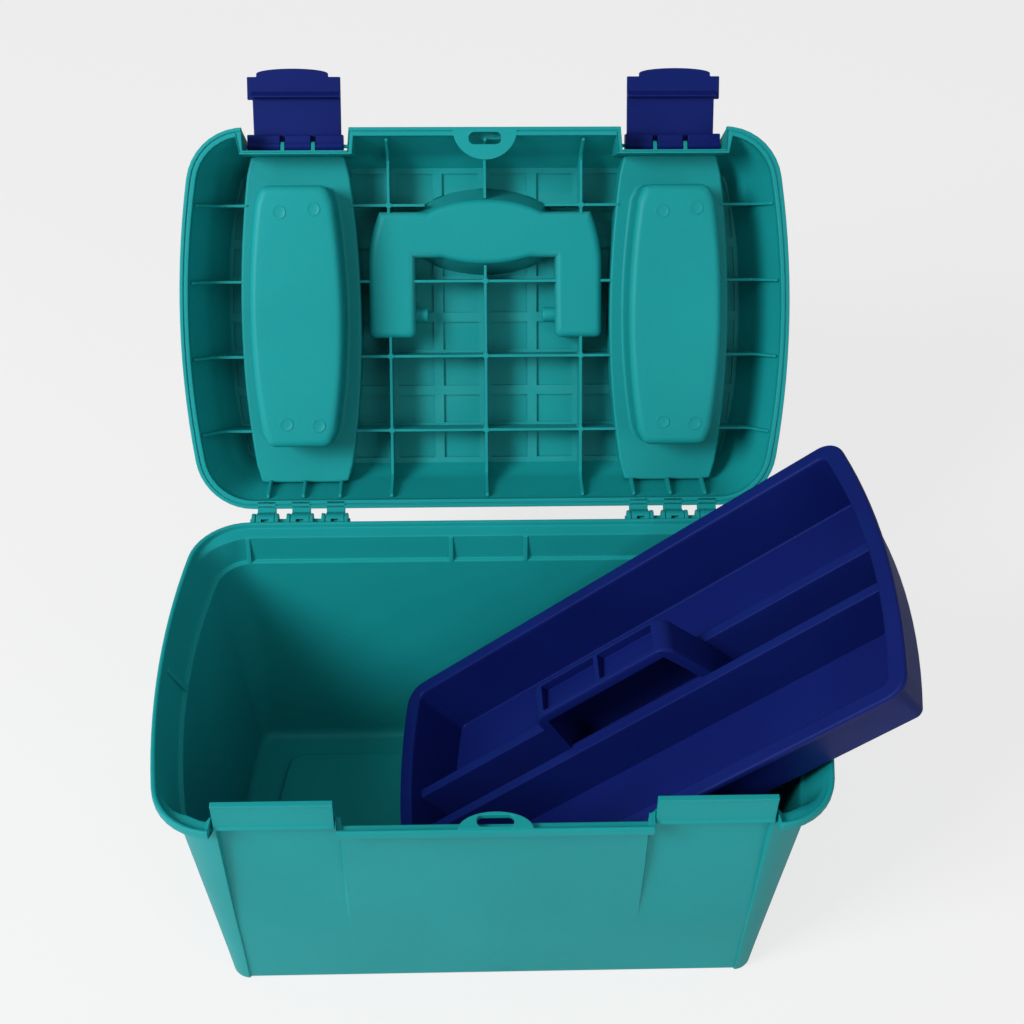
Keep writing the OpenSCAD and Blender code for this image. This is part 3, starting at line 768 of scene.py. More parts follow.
@dataclass
class SubAssembly:
    """A group of pieces that ride on one body and share a finish."""

    shop: PlasticShop
    sizes: BoxSizes
    body: str = field(init=False)
    finish: PlasticFinish = field(init=False)
    turn: Matrix = field(init=False)

    def set_out(self, body: str, finish: PlasticFinish, turn: Matrix | None = None) -> None:
        """Keeps what every piece of the group needs.

        Args:
            body: Body that the pieces ride on.
            finish: Look of the pieces.
            turn: Place of the group in the part's frame, or None where it is built in place.
        """
        self.body = body
        self.finish = finish
        self.turn = Matrix() if turn is None else turn

    def add(self, obj: Piece, *nodes: str) -> Piece:
        """Places a piece, dresses it and lets it ride.

        Args:
            obj: The piece.
            nodes: CAD nodes that it stands for.

        Returns:
            The same piece.
        """
        obj.data.transform(self.turn)
        obj.data.materials.clear()
        obj.data.materials.append(self.shop.plastic(self.finish))
        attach(obj, self.body)
        if nodes:
            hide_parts(*nodes)
        LOG.info("%s rides on %s", obj.name, self.body)
        return obj


# Tub


@dataclass
class Tub(SubAssembly):
    """Tapered tub with its catches, hinge ears, gussets and padlock eye.

    Names that end in _in are insets from the outer rim, and those in _drop are depths below it. Shares
    run along a stretch of the profile, and rounds are the radii at its corners in order.
    """

    # Foot and outer wall
    foot_hw: float = 171.0
    foot_hd: float = 99.5
    foot_bow: float = 8.0
    foot_r: float = 11.0
    foot_span: float = 0.985
    foot_recess: float = 5.0
    foot_ring: float = 28.0
    foot_rounds: Floats = (0.8, 2.2)
    foot_rib_t: float = 4.0
    foot_rib_seat: float = 0.6
    wall: float = 3.0
    wall_in: float = 8.5
    edge: float = 1.2
    outer_shares: Floats = (0.12, 0.24, 0.335, 0.36, 0.45, 0.54, 0.63, 0.72, 0.775, 0.79, 0.86)
    flare_at: float = 0.9
    flare_in: float = 2.6
    flare_shares: Floats = (0.3, 0.7)

    # Rim, shelf, tray ledge and floor
    lip_h: float = 6.0
    lip_out: float = 5.3
    rim_t: float = 2.4
    rim_rounds: Floats = (1.0, 0.9, 1.2, 1.1)
    shelf_in: float = 10.6
    shelf_drop: float = 4.4
    shelf_lip: float = 0.6
    shelf_step: float = 1.0
    shelf_foot_drop: float = 14.0
    shelf_rounds: Floats = (0.8, 0.9, 0.0)
    slope_stops: Points = ((0.15, MIDWAY), (0.3, INSIDE), (0.6, INSIDE))
    band_in: float = 12.4
    ledge_in: float = 15.0
    ledge_drop: float = 23.0
    ledge_rounds: Floats = (1.0, 1.2)
    inner_shares: Floats = (0.15, 0.3, 0.45, 0.6, 0.75, 0.9)
    floor_rounds: Floats = (6.0, 1.5, 1.5)
    floor_cap: float = 8.0
    side_from: float = 176.0
    side_to: float = 193.0

    # Relief of the front
    corner_proud: float = 1.2
    corner_x: float = 151.0
    front_shelf: float = 1.9
    front_drop: float = 1.8
    panel_y: float = -113.0
    panel_back: float = -109.5
    panel_fade: float = 125.0
    panel_x: float = 88.4
    panel_inner_x: float = 85.6
    post_x: float = 156.9
    post_lip_x: float = 157.6
    post_inner_x: float = 159.0
    lip_slack: float = 0.2
    foot_slack: float = 3.0
    rim_slack: float = 3.0
    shelf_above: float = 4.0
    panel_below: float = 6.0
    slot_skin: float = 0.3

    # Catches
    catch_hw: float = 33.4
    catch_y: float = -117.5
    catch_t: float = 3.0
    catch_up: float = 15.5
    catch_seat: float = 1.0
    catch_cove: float = 0.8
    catch_bead: float = 0.6
    catch_bead_h: float = 1.6
    catch_bead_end: float = 2.4
    catch_foot: float = 0.7
    catch_foot_h: float = 1.9
    catch_foot_end: float = 2.6

    # Hinge ears, gussets and padlock eye
    ear_r: float = 5.6
    ear_t: float = 2.4
    ear_x: float = 7.6
    ear_turn: float = 122.0
    ear_seat: float = 1.0
    ear_rise: float = 1.5
    ear_drop: float = 15.0
    web_t: float = 2.4
    gusset_x: Floats = (-157.0, -24.5, 24.5, 157.0)
    gusset_t: float = 3.0
    gusset_seat: float = 0.6
    gusset_foot: float = 15.2
    gusset_heel: float = 11.8
    gusset_sink: float = 1.0
    back_gusset: Point3 = (10.2, 11.2, 4.0)
    end_gusset: Point3 = (4.4, 5.6, 2.0)
    eye_y: float = -122.6
    eye_reach: float = 12.0
    eye_drop: float = 3.2
    eye_t: float = 3.45

    def __post_init__(self) -> None:
        """Sets what the group's pieces share."""
        self.set_out("box", TEAL)

    @property
    def lip_z(self) -> float:
        """Height of the lip's underside."""
        return self.sizes.box_h - self.lip_h

    @property
    def ledge_z(self) -> float:
        """Height of the tray ledge."""
        return self.sizes.box_h - self.ledge_drop

    def foot(self, inset: float, z: float, tag: float = OUTSIDE) -> Ring:
        """Ring that follows the foot at an inset."""
        return Ring(self.foot_hw - inset, self.foot_hd - inset, self.foot_bow,
                    self.foot_r, z, tag, self.foot_span)

    def wall_y(self, z: float) -> float:
        """Distance of the outer wall from the middle plane at a height."""
        top = self.sizes.rim_hd - self.lip_out
        return self.foot_hd + (top - self.foot_hd) * z / self.lip_z

    def profile(self, side: bool) -> list[Ring]:
        """Profile of the shell, from the recess below the floor over the rim to the floor.

        Args:
            side: Whether it is the profile at the ends, where the wall flares out to the rim, or the one at
                the front and back, where a narrow shelf lies behind the rim.

        Returns:
            The rings of the profile, as many for one as for the other.
        """
        rim, foot, top = self.sizes.rim, self.foot, self.sizes.box_h
        low = foot(0, self.edge)
        high = replace(rim(self.lip_out, self.lip_z), hw=self.sizes.rim_hw - self.wall_in,
                       r=self.sizes.rim_r, span=self.foot_span)
        bend, under = low.mix(high, self.flare_at), rim(self.flare_in, self.lip_z) if side else high
        outer = [low.mix(high, t) for t in (*self.outer_shares, self.flare_at)]
        outer += [bend.mix(under, t) for t in self.flare_shares]
        edge, band = rim(self.rim_t, top, NEAR_MIDWAY), rim(self.band_in, self.ledge_z, INSIDE)
        if side:
            shelf = [replace(edge.mix(band, t), tag=tag) for t, tag in self.slope_stops]
        else:
            drop = top - self.shelf_drop
            shelf = [rim(self.rim_t + self.shelf_lip, drop + self.shelf_step, MIDWAY),
                     rim(self.shelf_in, drop, INSIDE),
                     rim(self.shelf_in + self.shelf_step, top - self.shelf_foot_drop, INSIDE)]
        in_top = rim(self.ledge_in, self.ledge_z, INSIDE)
        in_low = foot(self.wall, self.wall + self.edge, INSIDE)
        inner = [in_top.mix(in_low, t) for t in self.inner_shares]
        floor_in, floor_z = self.foot_ring - self.wall, self.wall + self.foot_recess
        rings = [foot(self.foot_ring - self.edge, 0), foot(0, 0), *outer, under, rim(0, self.lip_z),
                 rim(0, top), edge, *shelf, band, in_top, *inner, foot(self.wall, self.wall, INSIDE),
                 foot(floor_in - self.edge, self.wall, INSIDE), foot(floor_in, floor_z, INSIDE)]
        rounds = [*self.foot_rounds, *[0.0] * len(outer), *self.rim_rounds, *self.shelf_rounds,
                  *self.ledge_rounds, *[0.0] * len(inner), *self.floor_rounds]
        first = foot(self.foot_ring, self.foot_recess)
        last = foot(floor_in + self.floor_cap, floor_z, INSIDE)
        return rounded_profile([(first, 0.0), *zip(rings, rounds), (last, 0.0)])

    def relief(self, ring: Ring, station: Point2, point: Point2) -> Point2:
        """Moves a point of the front to the corner post, catch panel or shelf that it lies on.

        Args:
            ring: Ring that holds the point.
            station: The same point on the outer rim.
            point: The point.

        Returns:
            The moved point.
        """
        x, y = point
        sx = abs(station[0])
        if not self.sizes.at_front(station):
            return point
        lip = ring.z > self.lip_z - self.lip_slack and ring.tag <= MIDWAY
        if ring.tag < MIDWAY and not lip and ring.hd > self.foot_hd - self.foot_slack and sx < self.post_x:
            y += self.corner_proud
        if ring.tag > MIDWAY and sx < self.panel_inner_x and ring.z > self.ledge_z + self.shelf_above:
            y -= self.front_shelf
        high = ring.z > self.ledge_z - self.panel_below
        start, end = self.panel_x, self.post_lip_x if lip else self.post_x
        if ring.tag > MIDWAY and high:
            start, end = self.panel_inner_x, self.post_inner_x
        if start < sx < end:
            fade_z = self.sizes.box_h - self.panel_fade
            fade_y = self.corner_proud - self.wall_y(fade_z)
            share = min((ring.z - fade_z) / (self.lip_z - fade_z), 1.0)
            front = fade_y + (self.panel_y - fade_y) * share if share > 0 else -self.sizes.rim_hd
            back = self.panel_back if high else -self.sizes.rim_hd
            target = front + (back - front) * ring.tag
            if target > y:
                reach = ring.corner_reach if sx > self.corner_x else ring.reach
                return (copysign(sx, station[0]) * reach, target)
        return (x, y)

    def row(self, plain: Ring, flared: Ring) -> list[Point3]:
        """One row of the shell's points.

        Args:
            plain: Ring of the front and back profile.
            flared: Ring of the profile at the ends.

        Returns:
            The points, which pass from one ring to the other around the corners.
        """
        out = []
        for station, a, b in zip(self.sizes.stations(), ring_points(plain), ring_points(flared)):
            sx = abs(station[0])
            share = min(max((sx - self.side_from) / (self.side_to - self.side_from), 0.0), 1.0)
            front = (*self.relief(plain, station, a), plain.z)
            end = (*self.relief(flared, station, b), flared.z)
            x, y, z = (p + (q - p) * share for p, q in zip(front, end))
            sunk = self.sizes.at_front(station) and sx < self.panel_x and z > self.lip_z - self.rim_slack
            out.append((x, y, z - self.front_drop if sunk else z))
        return out

    def shell(self) -> Piece:
        """Thin-walled tub with its front relief, its lip, its ledge and its raised floor panel."""
        rings = zip(self.profile(False), self.profile(True))
        shell = loft("tub_shell", [self.row(plain, flared) for plain, flared in rings])
        low = self.lip_z + self.slot_skin - self.front_drop
        slot = prism("slot", Axis.Z, low, self.sizes.box_h + SHELL_OVER, self.sizes.slot_outline())
        return soften(combine(shell, [slot], "DIFFERENCE"), width=0.35, angle=38.0)

    def catches(self) -> Piece:
        """Two upright catches that the latches hook over, each on a short shelf."""
        top, low, seat = self.sizes.box_h + self.catch_up, self.lip_z, self.panel_y + self.catch_seat
        front, back, shelf = self.catch_y, self.catch_y + self.catch_t, low + self.catch_t
        bead, foot = front - self.catch_bead, front - self.catch_foot
        outline = [(foot, low), (seat, low), (seat, shelf), (back + self.catch_cove, shelf),
                   (back, shelf + self.catch_cove), (back, top), (bead, top),
                   (bead, top - self.catch_bead_h), (front, top - self.catch_bead_end),
                   (front, low + self.catch_foot_end), (foot, low + self.catch_foot_h)]
        parts = []
        for side in Side:
            middle = side * self.sizes.latch_x
            parts.append(prism("catch", Axis.X, middle - self.catch_hw, middle + self.catch_hw, outline))
        return soften(join("tub_catches", parts), width=0.4)

    def ears(self) -> Piece:
        """Pairs of ears that hold the hinge pins, with webs between the pairs."""
        s = self.sizes
        foot_y, low = self.wall_y(s.axis_z) - self.ear_seat, s.axis_z - self.ear_r
        outline = circle((s.axis_y, s.axis_z), self.ear_r, -90, self.ear_turn, EAR_STEPS)
        outline += [(foot_y, s.axis_z + self.ear_rise), (foot_y - self.ear_seat, s.axis_z - self.ear_drop)]
        web = [(foot_y, low), (s.axis_y, low), (s.axis_y, low + self.web_t), (foot_y, low + self.web_t)]
        parts = []
        for side in Side:
            middles = s.hook_places(side)
            for middle in middles:
                for x in (middle - self.ear_x, middle + self.ear_x):
                    parts.append(prism("ear", Axis.X, x - self.ear_t / 2, x + self.ear_t / 2, outline))
            for start, end in zip(middles, middles[1:]):
                parts.append(prism("web", Axis.X, start + self.ear_x, end - self.ear_x, web))
        return soften(join("tub_hinge_ears", parts), width=0.4)

    def gusset_outline(self, shape: Point3) -> Outline:
        """Outline of a gusset, as insets from the outer rim and heights.

        Args:
            shape: Insets of its two upper corners and the height of its heel.

        Returns:
            The outline.
        """
        near, far, heel_h = shape
        top, low = self.sizes.box_h - self.shelf_drop - self.gusset_seat, self.ledge_z
        foot, heel, sunk = self.gusset_foot, self.gusset_heel, low - self.gusset_sink
        return [(near, top), (far, top), (foot, low), (foot, sunk), (heel, sunk), (heel, low + heel_h)]

    def gussets(self) -> Piece:
        """Small gussets between the band under the rim and the tray ledge."""
        s, half = self.sizes, self.gusset_t / 2
        outline = [(s.rim_hd - inset, z) for inset, z in self.gusset_outline(self.back_gusset)]
        parts = [prism("gusset", Axis.X, x - half, x + half, outline) for x in self.gusset_x]
        for side in Side:
            reach = self.gusset_outline(self.end_gusset)
            outline = [(side * (s.rim_hw - inset), z) for inset, z in reach]
            parts.append(prism("gusset", Axis.Y, -half, half, outline))
        return soften(join("tub_gussets", parts))

    def eye(self) -> Piece:
        """Padlock eye: a half-oval plate inside the front rim, with a slot."""
        s = self.sizes
        z = s.box_h - self.eye_drop - self.front_drop
        outline = s.eye_outline(self.eye_y, self.eye_reach)
        plate = prism("tub_padlock_eye", Axis.Z, z, z + self.eye_t, outline)
        slot = prism("slot", Axis.Z, z - EYE_OVER, s.box_h + EYE_OVER, s.slot_outline())
        return soften(combine(plate, [slot], "DIFFERENCE"))

    def foot_ribs(self) -> Piece:
        """Two crossing ribs in the recess below the floor."""
        margin, half = self.foot_ring - self.wall / 2, self.foot_rib_t / 2
        reach, span = self.foot_hd - margin, self.foot_hw - margin
        high = self.foot_recess + self.foot_rib_seat
        outline = [(-half, 0), (half, 0), (half, high), (-half, high)]
        return soften(join("tub_foot_ribs", [prism("rib", Axis.Y, -reach, reach, outline),
                                             prism("rib", Axis.X, -span, span, outline)]), width=0.4)

    def build(self) -> None:
        """Builds and dresses the tub's pieces."""
        self.add(self.shell(), "tub")
        for piece in (self.catches(), self.ears(), self.gussets(), self.eye(), self.foot_ribs()):
            self.add(piece)


# Lid


LEAST_CORNER = 0.8
CORNER_INSET = 0.5
CORNER_BULGE = 0.3


def barrel(front: float, back: float, widths: Point3, inset: float = 0.0, steps: int = 18,
           round_off: float = 4.0) -> Outline:
    """Long outline whose sides bulge between its two ends, with softened corners.

    Args:
        front: Front end.
        back: Back end.
        widths: Half widths at the front, the middle and the back.
        inset: How far the outline is drawn in.
        steps: Steps along each side.
        round_off: Radius of the corners.

    Returns:
        The outline, anticlockwise.
    """
    front_hw, mid_hw, back_hw = widths
    middle, half = (front + back) / 2, (back - front) / 2 - inset
    side = []
    for i in range(steps + 1):
        t = 2 * i / steps - 1
        end_hw = front_hw if t < 0 else back_hw
        side.append((mid_hw - inset - (mid_hw - end_hw) * t * t, middle + half * t))
    r = max(round_off - inset * CORNER_INSET, LEAST_CORNER)
    low, high, bulge = side[0], side[-1], r * CORNER_BULGE
    first = [(low[0] - r, low[1]), (low[0] - bulge, low[1] + bulge)]
    last = [(high[0] - bulge, high[1] - bulge), (high[0] - r, high[1])]
    right = first + [p for p in side[1:-1] if low[1] + r < p[1] < high[1] - r] + last
    return right + [(-x, y) for x, y in reversed(right)]


@dataclass
class Lid(SubAssembly):
    """Hinged lid with its ribs, pocket channels, handle well and hooks, drawn closed and turned open.

    Names follow those of the tub, but depths are below the lid's top.
    """

    # Shell
    gap: float = 0.4
    height: float = 56.0
    wall: float = 2.4
    sink: float = 1.2
    flush: float = 0.05
    lip_in: float = 5.6
    lip_h: float = 5.5
    lip_step: float = 1.2
    lip_rounds: Floats = (0.7, 0.7, 0.8)
    edge_rounds: Floats = (0.8, 1.2)
    groove: Point3 = (2.2, 3.2, 1.0)
    groove_tags: Point2 = (0.38, 0.54)
    groove_rounds: Floats = (0.25, 0.3, 0.3, 0.25)
    wall_shares: Floats = (0.25, 0.5, 0.75)
    wall_slope: float = 16.5
    ceiling_drop: float = 14.0
    ceiling_rounds: Floats = (8.0, 2.0)
    shoulder_in: float = 9.0
    shoulder_drop: float = 12.0
    crown_in: float = 13.0
    crown_drop: float = 4.0
    top_in: float = 24.0
    roof_step: float = 1.2
    roof_rounds: Floats = (5.0, 6.0, 6.0)
    cap_in: float = 36.0
    notch_hw: float = 34.4
    notch_widen: float = 2.2
    notch_y: float = -109.5
    notch_t: float = 2.5
    slot_up: float = 11.0

    # Cuts through the roof: depth, lap over the channels, gap round the handle, lap over the scoop
    roof_cut: tuple[float, float, float, float] = (9.0, 1.0, 1.7, 1.2)
    trim_cut: tuple[float, float, float, float] = (12.0, 0.4, 2.4, 0.6)
    cut_over: float = 6.0
    scoop_cut: Point2 = (47.0, 62.0)

    # Ribs and bosses
    rib_t: float = 1.8
    rib_low: float = 27.0
    rib_bend: float = 20.0
    rib_ease: float = 4.0
    rib_wall: Points = ((8.6, 5.6), (6.6, 5.5))
    rib_roof: Points = ((10.2, 14.4), (14.2, 6.4))
    rib_x: float = 64.0
    rib_y: float = 50.0
    front_rib_from: float = 69.5
    back_rib_from: float = 8.5
    scoop_rib_from: Point2 = (79.5, -35.6)
    scoop_rib_lean: float = 7.2
    scoop_clear: float = 40.0
    arm_clear: Point2 = (48.5, 72.5)
    boss_r: float = 2.9
    boss_proud: float = 0.3
    back_rib_x: Floats = (98.5, 123.0, 146.4)
    back_rib_y: float = 108.5
    back_rib_t: float = 2.0
    back_rib_drop: float = 4.0

    # Lattice under the roof
    bar_hw: float = 3.2
    column_bar_hw: float = 4.2
    row_bar_hw: float = 2.8
    edge_bar_x: Point2 = (92.9, 100.0)
    edge_bar_y: Point2 = (96.5, 102.0)
    end_bar_y: Point2 = (93.0, 97.5)
    end_bars: Points = ((0.02, 0.08), (0.78, 1.0))
    end_corner_r: float = 13.0
    end_corner_y: float = 85.0
    end_gap: float = 1.4
    end_lap: float = 1.0
    end_rise: float = 0.7
    bar_deep: float = 1.9
    bar_drop: float = 1.4

    # Pockets and their ejector marks
    pocket_x: float = 123.3
    pocket_drop: float = 10.0
    channel_reach: float = 106.0
    channel_widths: Point3 = (28.3, 40.0, 30.5)
    channel_edge: float = 0.5
    channel_edge_drop: float = 0.6
    under_ends: Point2 = (-107.6, 110.0)
    under_widths: Point3 = (32.0, 40.0, 30.5)
    under_round: float = 1.5
    under_drops: Point2 = (8.0, 6.0)
    pocket_ends: Point2 = (-87.0, 82.0)
    pocket_widths: Point3 = (23.6, 30.5, 22.7)
    pocket_corner: float = 6.5
    pocket_round: float = 5.0
    pocket_inner_round: float = 4.0
    pocket_cap: float = 9.0
    neck_round: float = 2.2
    neck_drop: float = 3.0
    mark_places: Points = ((-9.5, -70.0), (12.5, -72.0), (-8.0, 66.5), (13.0, 67.5))
    mark_profile: Points = ((4.6, 0.3), (4.5, -0.22), (4.15, -0.34), (3.8, -0.22), (3.5, -0.06),
                            (1.0, -0.06))

    # Handle well and its pivots
    arm_in: float = 50.0
    arm_out: float = 71.0
    arm_r: float = 4.0
    arm_eye: float = 8.0
    arm_web: float = 4.0
    arm_bend: float = 36.0
    arm_bend_in: float = 7.5
    grip_front: float = -67.6
    grip_d: float = 20.0
    scoop_hw: float = 47.3
    scoop_hd: float = 20.3
    scoop_flare: Point2 = (6.0, 9.4)
    scoop_round: float = 3.0
    scoop_inner_round: float = 2.0
    well_up: float = 25.0
    well_gap: float = 0.7
    well_skirt: float = 3.7
    well_round: float = 4.5
    well_inner_round: float = 1.5
    well_over: float = 1.0
    pivot_y: float = -2.0
    pivot_up: float = 40.0
    pivot_in: float = 38.6
    pivot_l: float = 10.0
    pivot_r: float = 5.0
    pivot_edge: float = 1.4

    # Latch lugs, hinge hooks and padlock eye
    lug_r: float = 3.1
    lug_x: float = 10.0
    lug_t: float = 2.6
    lug_hh: float = 4.6
    lug_seat: float = 1.0
    hook_r: float = 5.2
    hook_w: float = 12.0
    hook_rise: float = 1.0
    hook_slope: Point2 = (3.6, 4.0)
    hook_h: float = 6.0
    hook_seat: float = 5.0
    core_hw: float = 2.5
    core_drop: float = 7.0
    bore_r: float = 2.05
    eye_y: float = -123.2
    eye_reach: float = 20.0
    eye_t: float = 3.0
    eye_lift: float = 0.02

    def __post_init__(self) -> None:
        """Sets what the group's pieces share."""
        self.set_out("lid", TEAL, self.sizes.opened())

    @property
    def floor(self) -> float:
        """Height of the lid's lower edge when shut."""
        return self.sizes.box_h + self.gap

    @property
    def top(self) -> float:
        """Height of the lid's top when shut."""
        return self.sizes.box_h + self.height

    @property
    def rib_rows(self) -> list[float]:
        """Places of the ribs that run across the lid, from the front to the back."""
        return [share * self.rib_y for share in (-1.5, -0.5, 0.5, 1.5)]

    def up(self, z: float) -> float:
        """Height in the part's frame of a height above the rim."""
        return self.sizes.box_h + z

    def profile(self) -> list[Ring]:
        """Profile of the shell, from the outer roof over the lip to the inner roof."""
        rim, top, low = self.sizes.rim, self.top, self.floor
        lip = low + self.lip_h
        outer_low = rim(self.lip_step, lip + self.lip_step)
        outer_high = rim(self.shoulder_in, top - self.shoulder_drop)
        outer = [outer_high.mix(outer_low, t) for t in self.wall_shares]
        inner_low = rim(self.lip_in, lip, INSIDE)
        inner_high = rim(self.wall_slope, top - self.ceiling_drop, INSIDE)
        inner = [inner_low.mix(inner_high, t) for t in self.wall_shares]
        near, far, deep = self.groove
        near_tag, far_tag = self.groove_tags
        rings = [rim(self.top_in, top), rim(self.crown_in, top - self.crown_drop), outer_high, *outer,
                 outer_low, rim(0, lip), rim(0, low), rim(near, low, near_tag),
                 rim(near, low + deep, near_tag), rim(far, low + deep, far_tag), rim(far, low, far_tag),
                 rim(self.lip_in, low, INSIDE), inner_low, *inner, inner_high,
                 rim(self.top_in + self.roof_step, top - self.wall, INSIDE)]
        rounds = [*self.roof_rounds, *[0.0] * len(outer), *self.lip_rounds, *self.groove_rounds,
                  *self.edge_rounds, *[0.0] * len(inner), *self.ceiling_rounds]
        first, last = rim(self.cap_in, top), rim(self.cap_in, top - self.wall, INSIDE)
        return rounded_profile([(first, 0.0), *zip(rings, rounds), (last, 0.0)])

    def relief(self, ring: Ring, station: Point2, point: Point2) -> Point2:
        """Moves a point of the front into a latch notch where it lies on one."""
        sx = abs(station[0])
        reach = self.notch_hw + self.notch_widen * (ring.tag > MIDWAY)
        if not self.sizes.at_front(station) or abs(sx - self.sizes.latch_x) > reach:
            return point
        target = self.notch_y + self.notch_t * ring.tag
        if target > point[1]:
            return (copysign(sx, station[0]), target)
        return point

    def channel_outline(self, inset: float) -> Outline:
        """Outline of a pocket channel about its middle."""
        return barrel(-self.channel_reach, self.channel_reach, self.channel_widths, inset)

    def pocket_outline(self, inset: float) -> Outline:
        """Outline of a pocket about its middle."""
        return barrel(*self.pocket_ends, self.pocket_widths, inset, round_off=self.pocket_corner)

    def arm_outline(self, grow: float, skirt: float = 0.0) -> Outline:
        """Outline of the U that the handle lies in.

        Args:
            grow: How far it stands off the handle.
            skirt: How much more it stands off on the outer side and behind the pivots.

        Returns:
            The outline.
        """
        front, back = self.grip_front - grow, self.pivot_y + self.arm_eye + grow + skirt
        inner = self.grip_front + self.grip_d + self.arm_web + grow
        x0, x1, r = self.arm_in - grow, self.arm_out + grow + skirt, self.arm_r
        right = [(x1 - self.arm_bend_in * (1 - i / ARM_STEPS) ** 2, front + self.arm_bend * i / ARM_STEPS)
                 for i in range(ARM_STEPS + 1)]
        right += circle((x1 - r, back - r), r, 0, 90, 5) + circle((x0 + r, back - r), r, 90, 180, 5)
        right += [(x0, inner)]
        return right + [(-x, y) for x, y in reversed(right)]

    def scoop_outline(self, up: float, inset: float) -> Outline:
        """Oval of the finger scoop at a height above the rim."""
        t = (up - self.well_up) / (self.height - self.well_up)
        flare_x, flare_y = self.scoop_flare
        a, b = self.scoop_hw + flare_x * t - inset, self.scoop_hd + flare_y * t - inset
        middle = self.grip_front + self.grip_d / 2
        return [(a * cos(turn), middle + b * sin(turn)) for turn in full_turn(SCOOP_STEPS)]

    def roof_cuts(self, deep: float, lap: float, grow: float) -> list[Piece]:
        """Prisms through the roof over the two channels and the handle.

        Args:
            deep: How far they reach below the lid's top.
            lap: How far they stay inside the channels.
            grow: How far they stand off the handle.

        Returns:
            The prisms.
        """
        channel = self.channel_outline(lap)
        outlines = [[(x + side * self.pocket_x, y) for x, y in channel] for side in Side]
        outlines.append(self.arm_outline(grow))
        low, high = self.top - deep, self.top + self.cut_over
        return [prism("cut", Axis.Z, low, high, outline) for outline in outlines]

    def shell(self) -> Piece:
        """Thin-walled lid with latch notches, cut open over the pockets, the well and the padlock slot."""
        stations = self.sizes.stations()
        rings = [[(*self.relief(ring, s, p), ring.z) for s, p in zip(stations, ring_points(ring))]
                 for ring in self.profile()]
        shell = loft("lid_shell", rings)
        *sizes, scoop_lap = self.roof_cut
        cuts = self.roof_cuts(*sizes)
        cuts.append(loft("cut", [[(x, y, self.up(z)) for x, y in self.scoop_outline(z, scoop_lap)]
                                 for z in self.scoop_cut]))
        slot = self.sizes.slot_outline()
        cuts.append(prism("cut", Axis.Z, self.floor - SHELL_OVER, self.floor + self.slot_up, slot))
        return soften(combine(shell, cuts, "DIFFERENCE"), width=0.3, angle=38.0)

    def rib_end(self, half: float) -> Outline:
        """Rib profile from its bend down the wall to the lip and up to the roof."""
        bend, low = half - self.rib_bend, self.up(self.rib_low)
        return [(bend, low), (bend + self.rib_ease, self.up(self.rib_low - self.rib_ease)),
                *[(half - inset, self.floor + rise) for inset, rise in self.rib_wall],
                *[(half - inset, self.top - drop) for inset, drop in self.rib_roof],
                (half - self.top_in, self.top - self.sink)]

    def rib(self, axis: Axis, at: float, start: float, half: float, sign: int,
            lean: float = 0.0) -> Piece:
        """Rib from a point on the roof out to one wall.

        Args:
            axis: Axis across the rib.
            at: Place of the rib on that axis.
            start: Distance of its inner end from the middle.
            half: Distance of the wall from the middle.
            sign: Side that it runs to.
            lean: How far its inner end leans outwards at the roof.

        Returns:
            The rib.
        """
        outline = [(sign * start, self.up(self.rib_low))] + [(sign * a, b) for a, b in self.rib_end(half)]
        outline.append((sign * (start + lean), self.top - self.sink))
        return prism("rib", axis, at - self.rib_t / 2, at + self.rib_t / 2, outline)

    def rib_between(self, axis: Axis, at: float, start: float, end: float) -> Piece:
        """Rib between two points on the roof."""
        low, high = self.up(self.rib_low), self.top - self.sink
        return prism("rib", axis, at - self.rib_t / 2, at + self.rib_t / 2,
                     [(start, low), (end, low), (end, high), (start, high)])

    def bow_in(self, y: float) -> float:
        """How far the bowed end stands back at distance y from the middle."""
        s = self.sizes
        rs = (s.rim_hd**2 + s.end_bow**2) / (2 * s.end_bow)
        return rs - sqrt(rs * rs - y * y)

    def channel_hw(self, y: float) -> float:
        """Half width of a pocket channel at distance y from the middle."""
        front, mid, back = self.channel_widths
        t = y / self.channel_reach
        return mid - (mid - (front if t < 0 else back)) * t * t

    def ribs(self) -> Piece:
        """Ribs under the roof, stopped at the pockets and at the handle well."""
        s = self.sizes
        parts = []
        for x in (-self.rib_x, self.rib_x):
            parts.append(self.rib(Axis.X, x, self.front_rib_from, s.rim_hd, -1))
            parts.append(self.rib(Axis.X, x, self.back_rib_from, s.rim_hd, 1))
        for start, sign in zip(self.scoop_rib_from, (-1, 1)):
            parts.append(self.rib(Axis.X, 0.0, start, s.rim_hd, sign, self.scoop_rib_lean))
        arm_in, arm_out = self.arm_clear
        for y in self.rib_rows:
            half, width = s.rim_hw - self.bow_in(y), self.channel_hw(y)
            for side in Side:
                parts.append(self.rib(Axis.Y, y, self.pocket_x + width - self.sink, half, side))
            inner = self.pocket_x - width + self.sink
            if y < -self.rib_y:
                spans = [(-inner, -self.scoop_clear), (self.scoop_clear, inner)]
            elif y < 0:
                spans = [(-inner, -arm_out), (-arm_in, arm_in), (arm_out, inner)]
            else:
                spans = [(-inner, inner)]
            parts += [self.rib_between(Axis.Y, y, a, b) for a, b in spans]
        return soften(join("lid_ribs", parts), width=0.3)

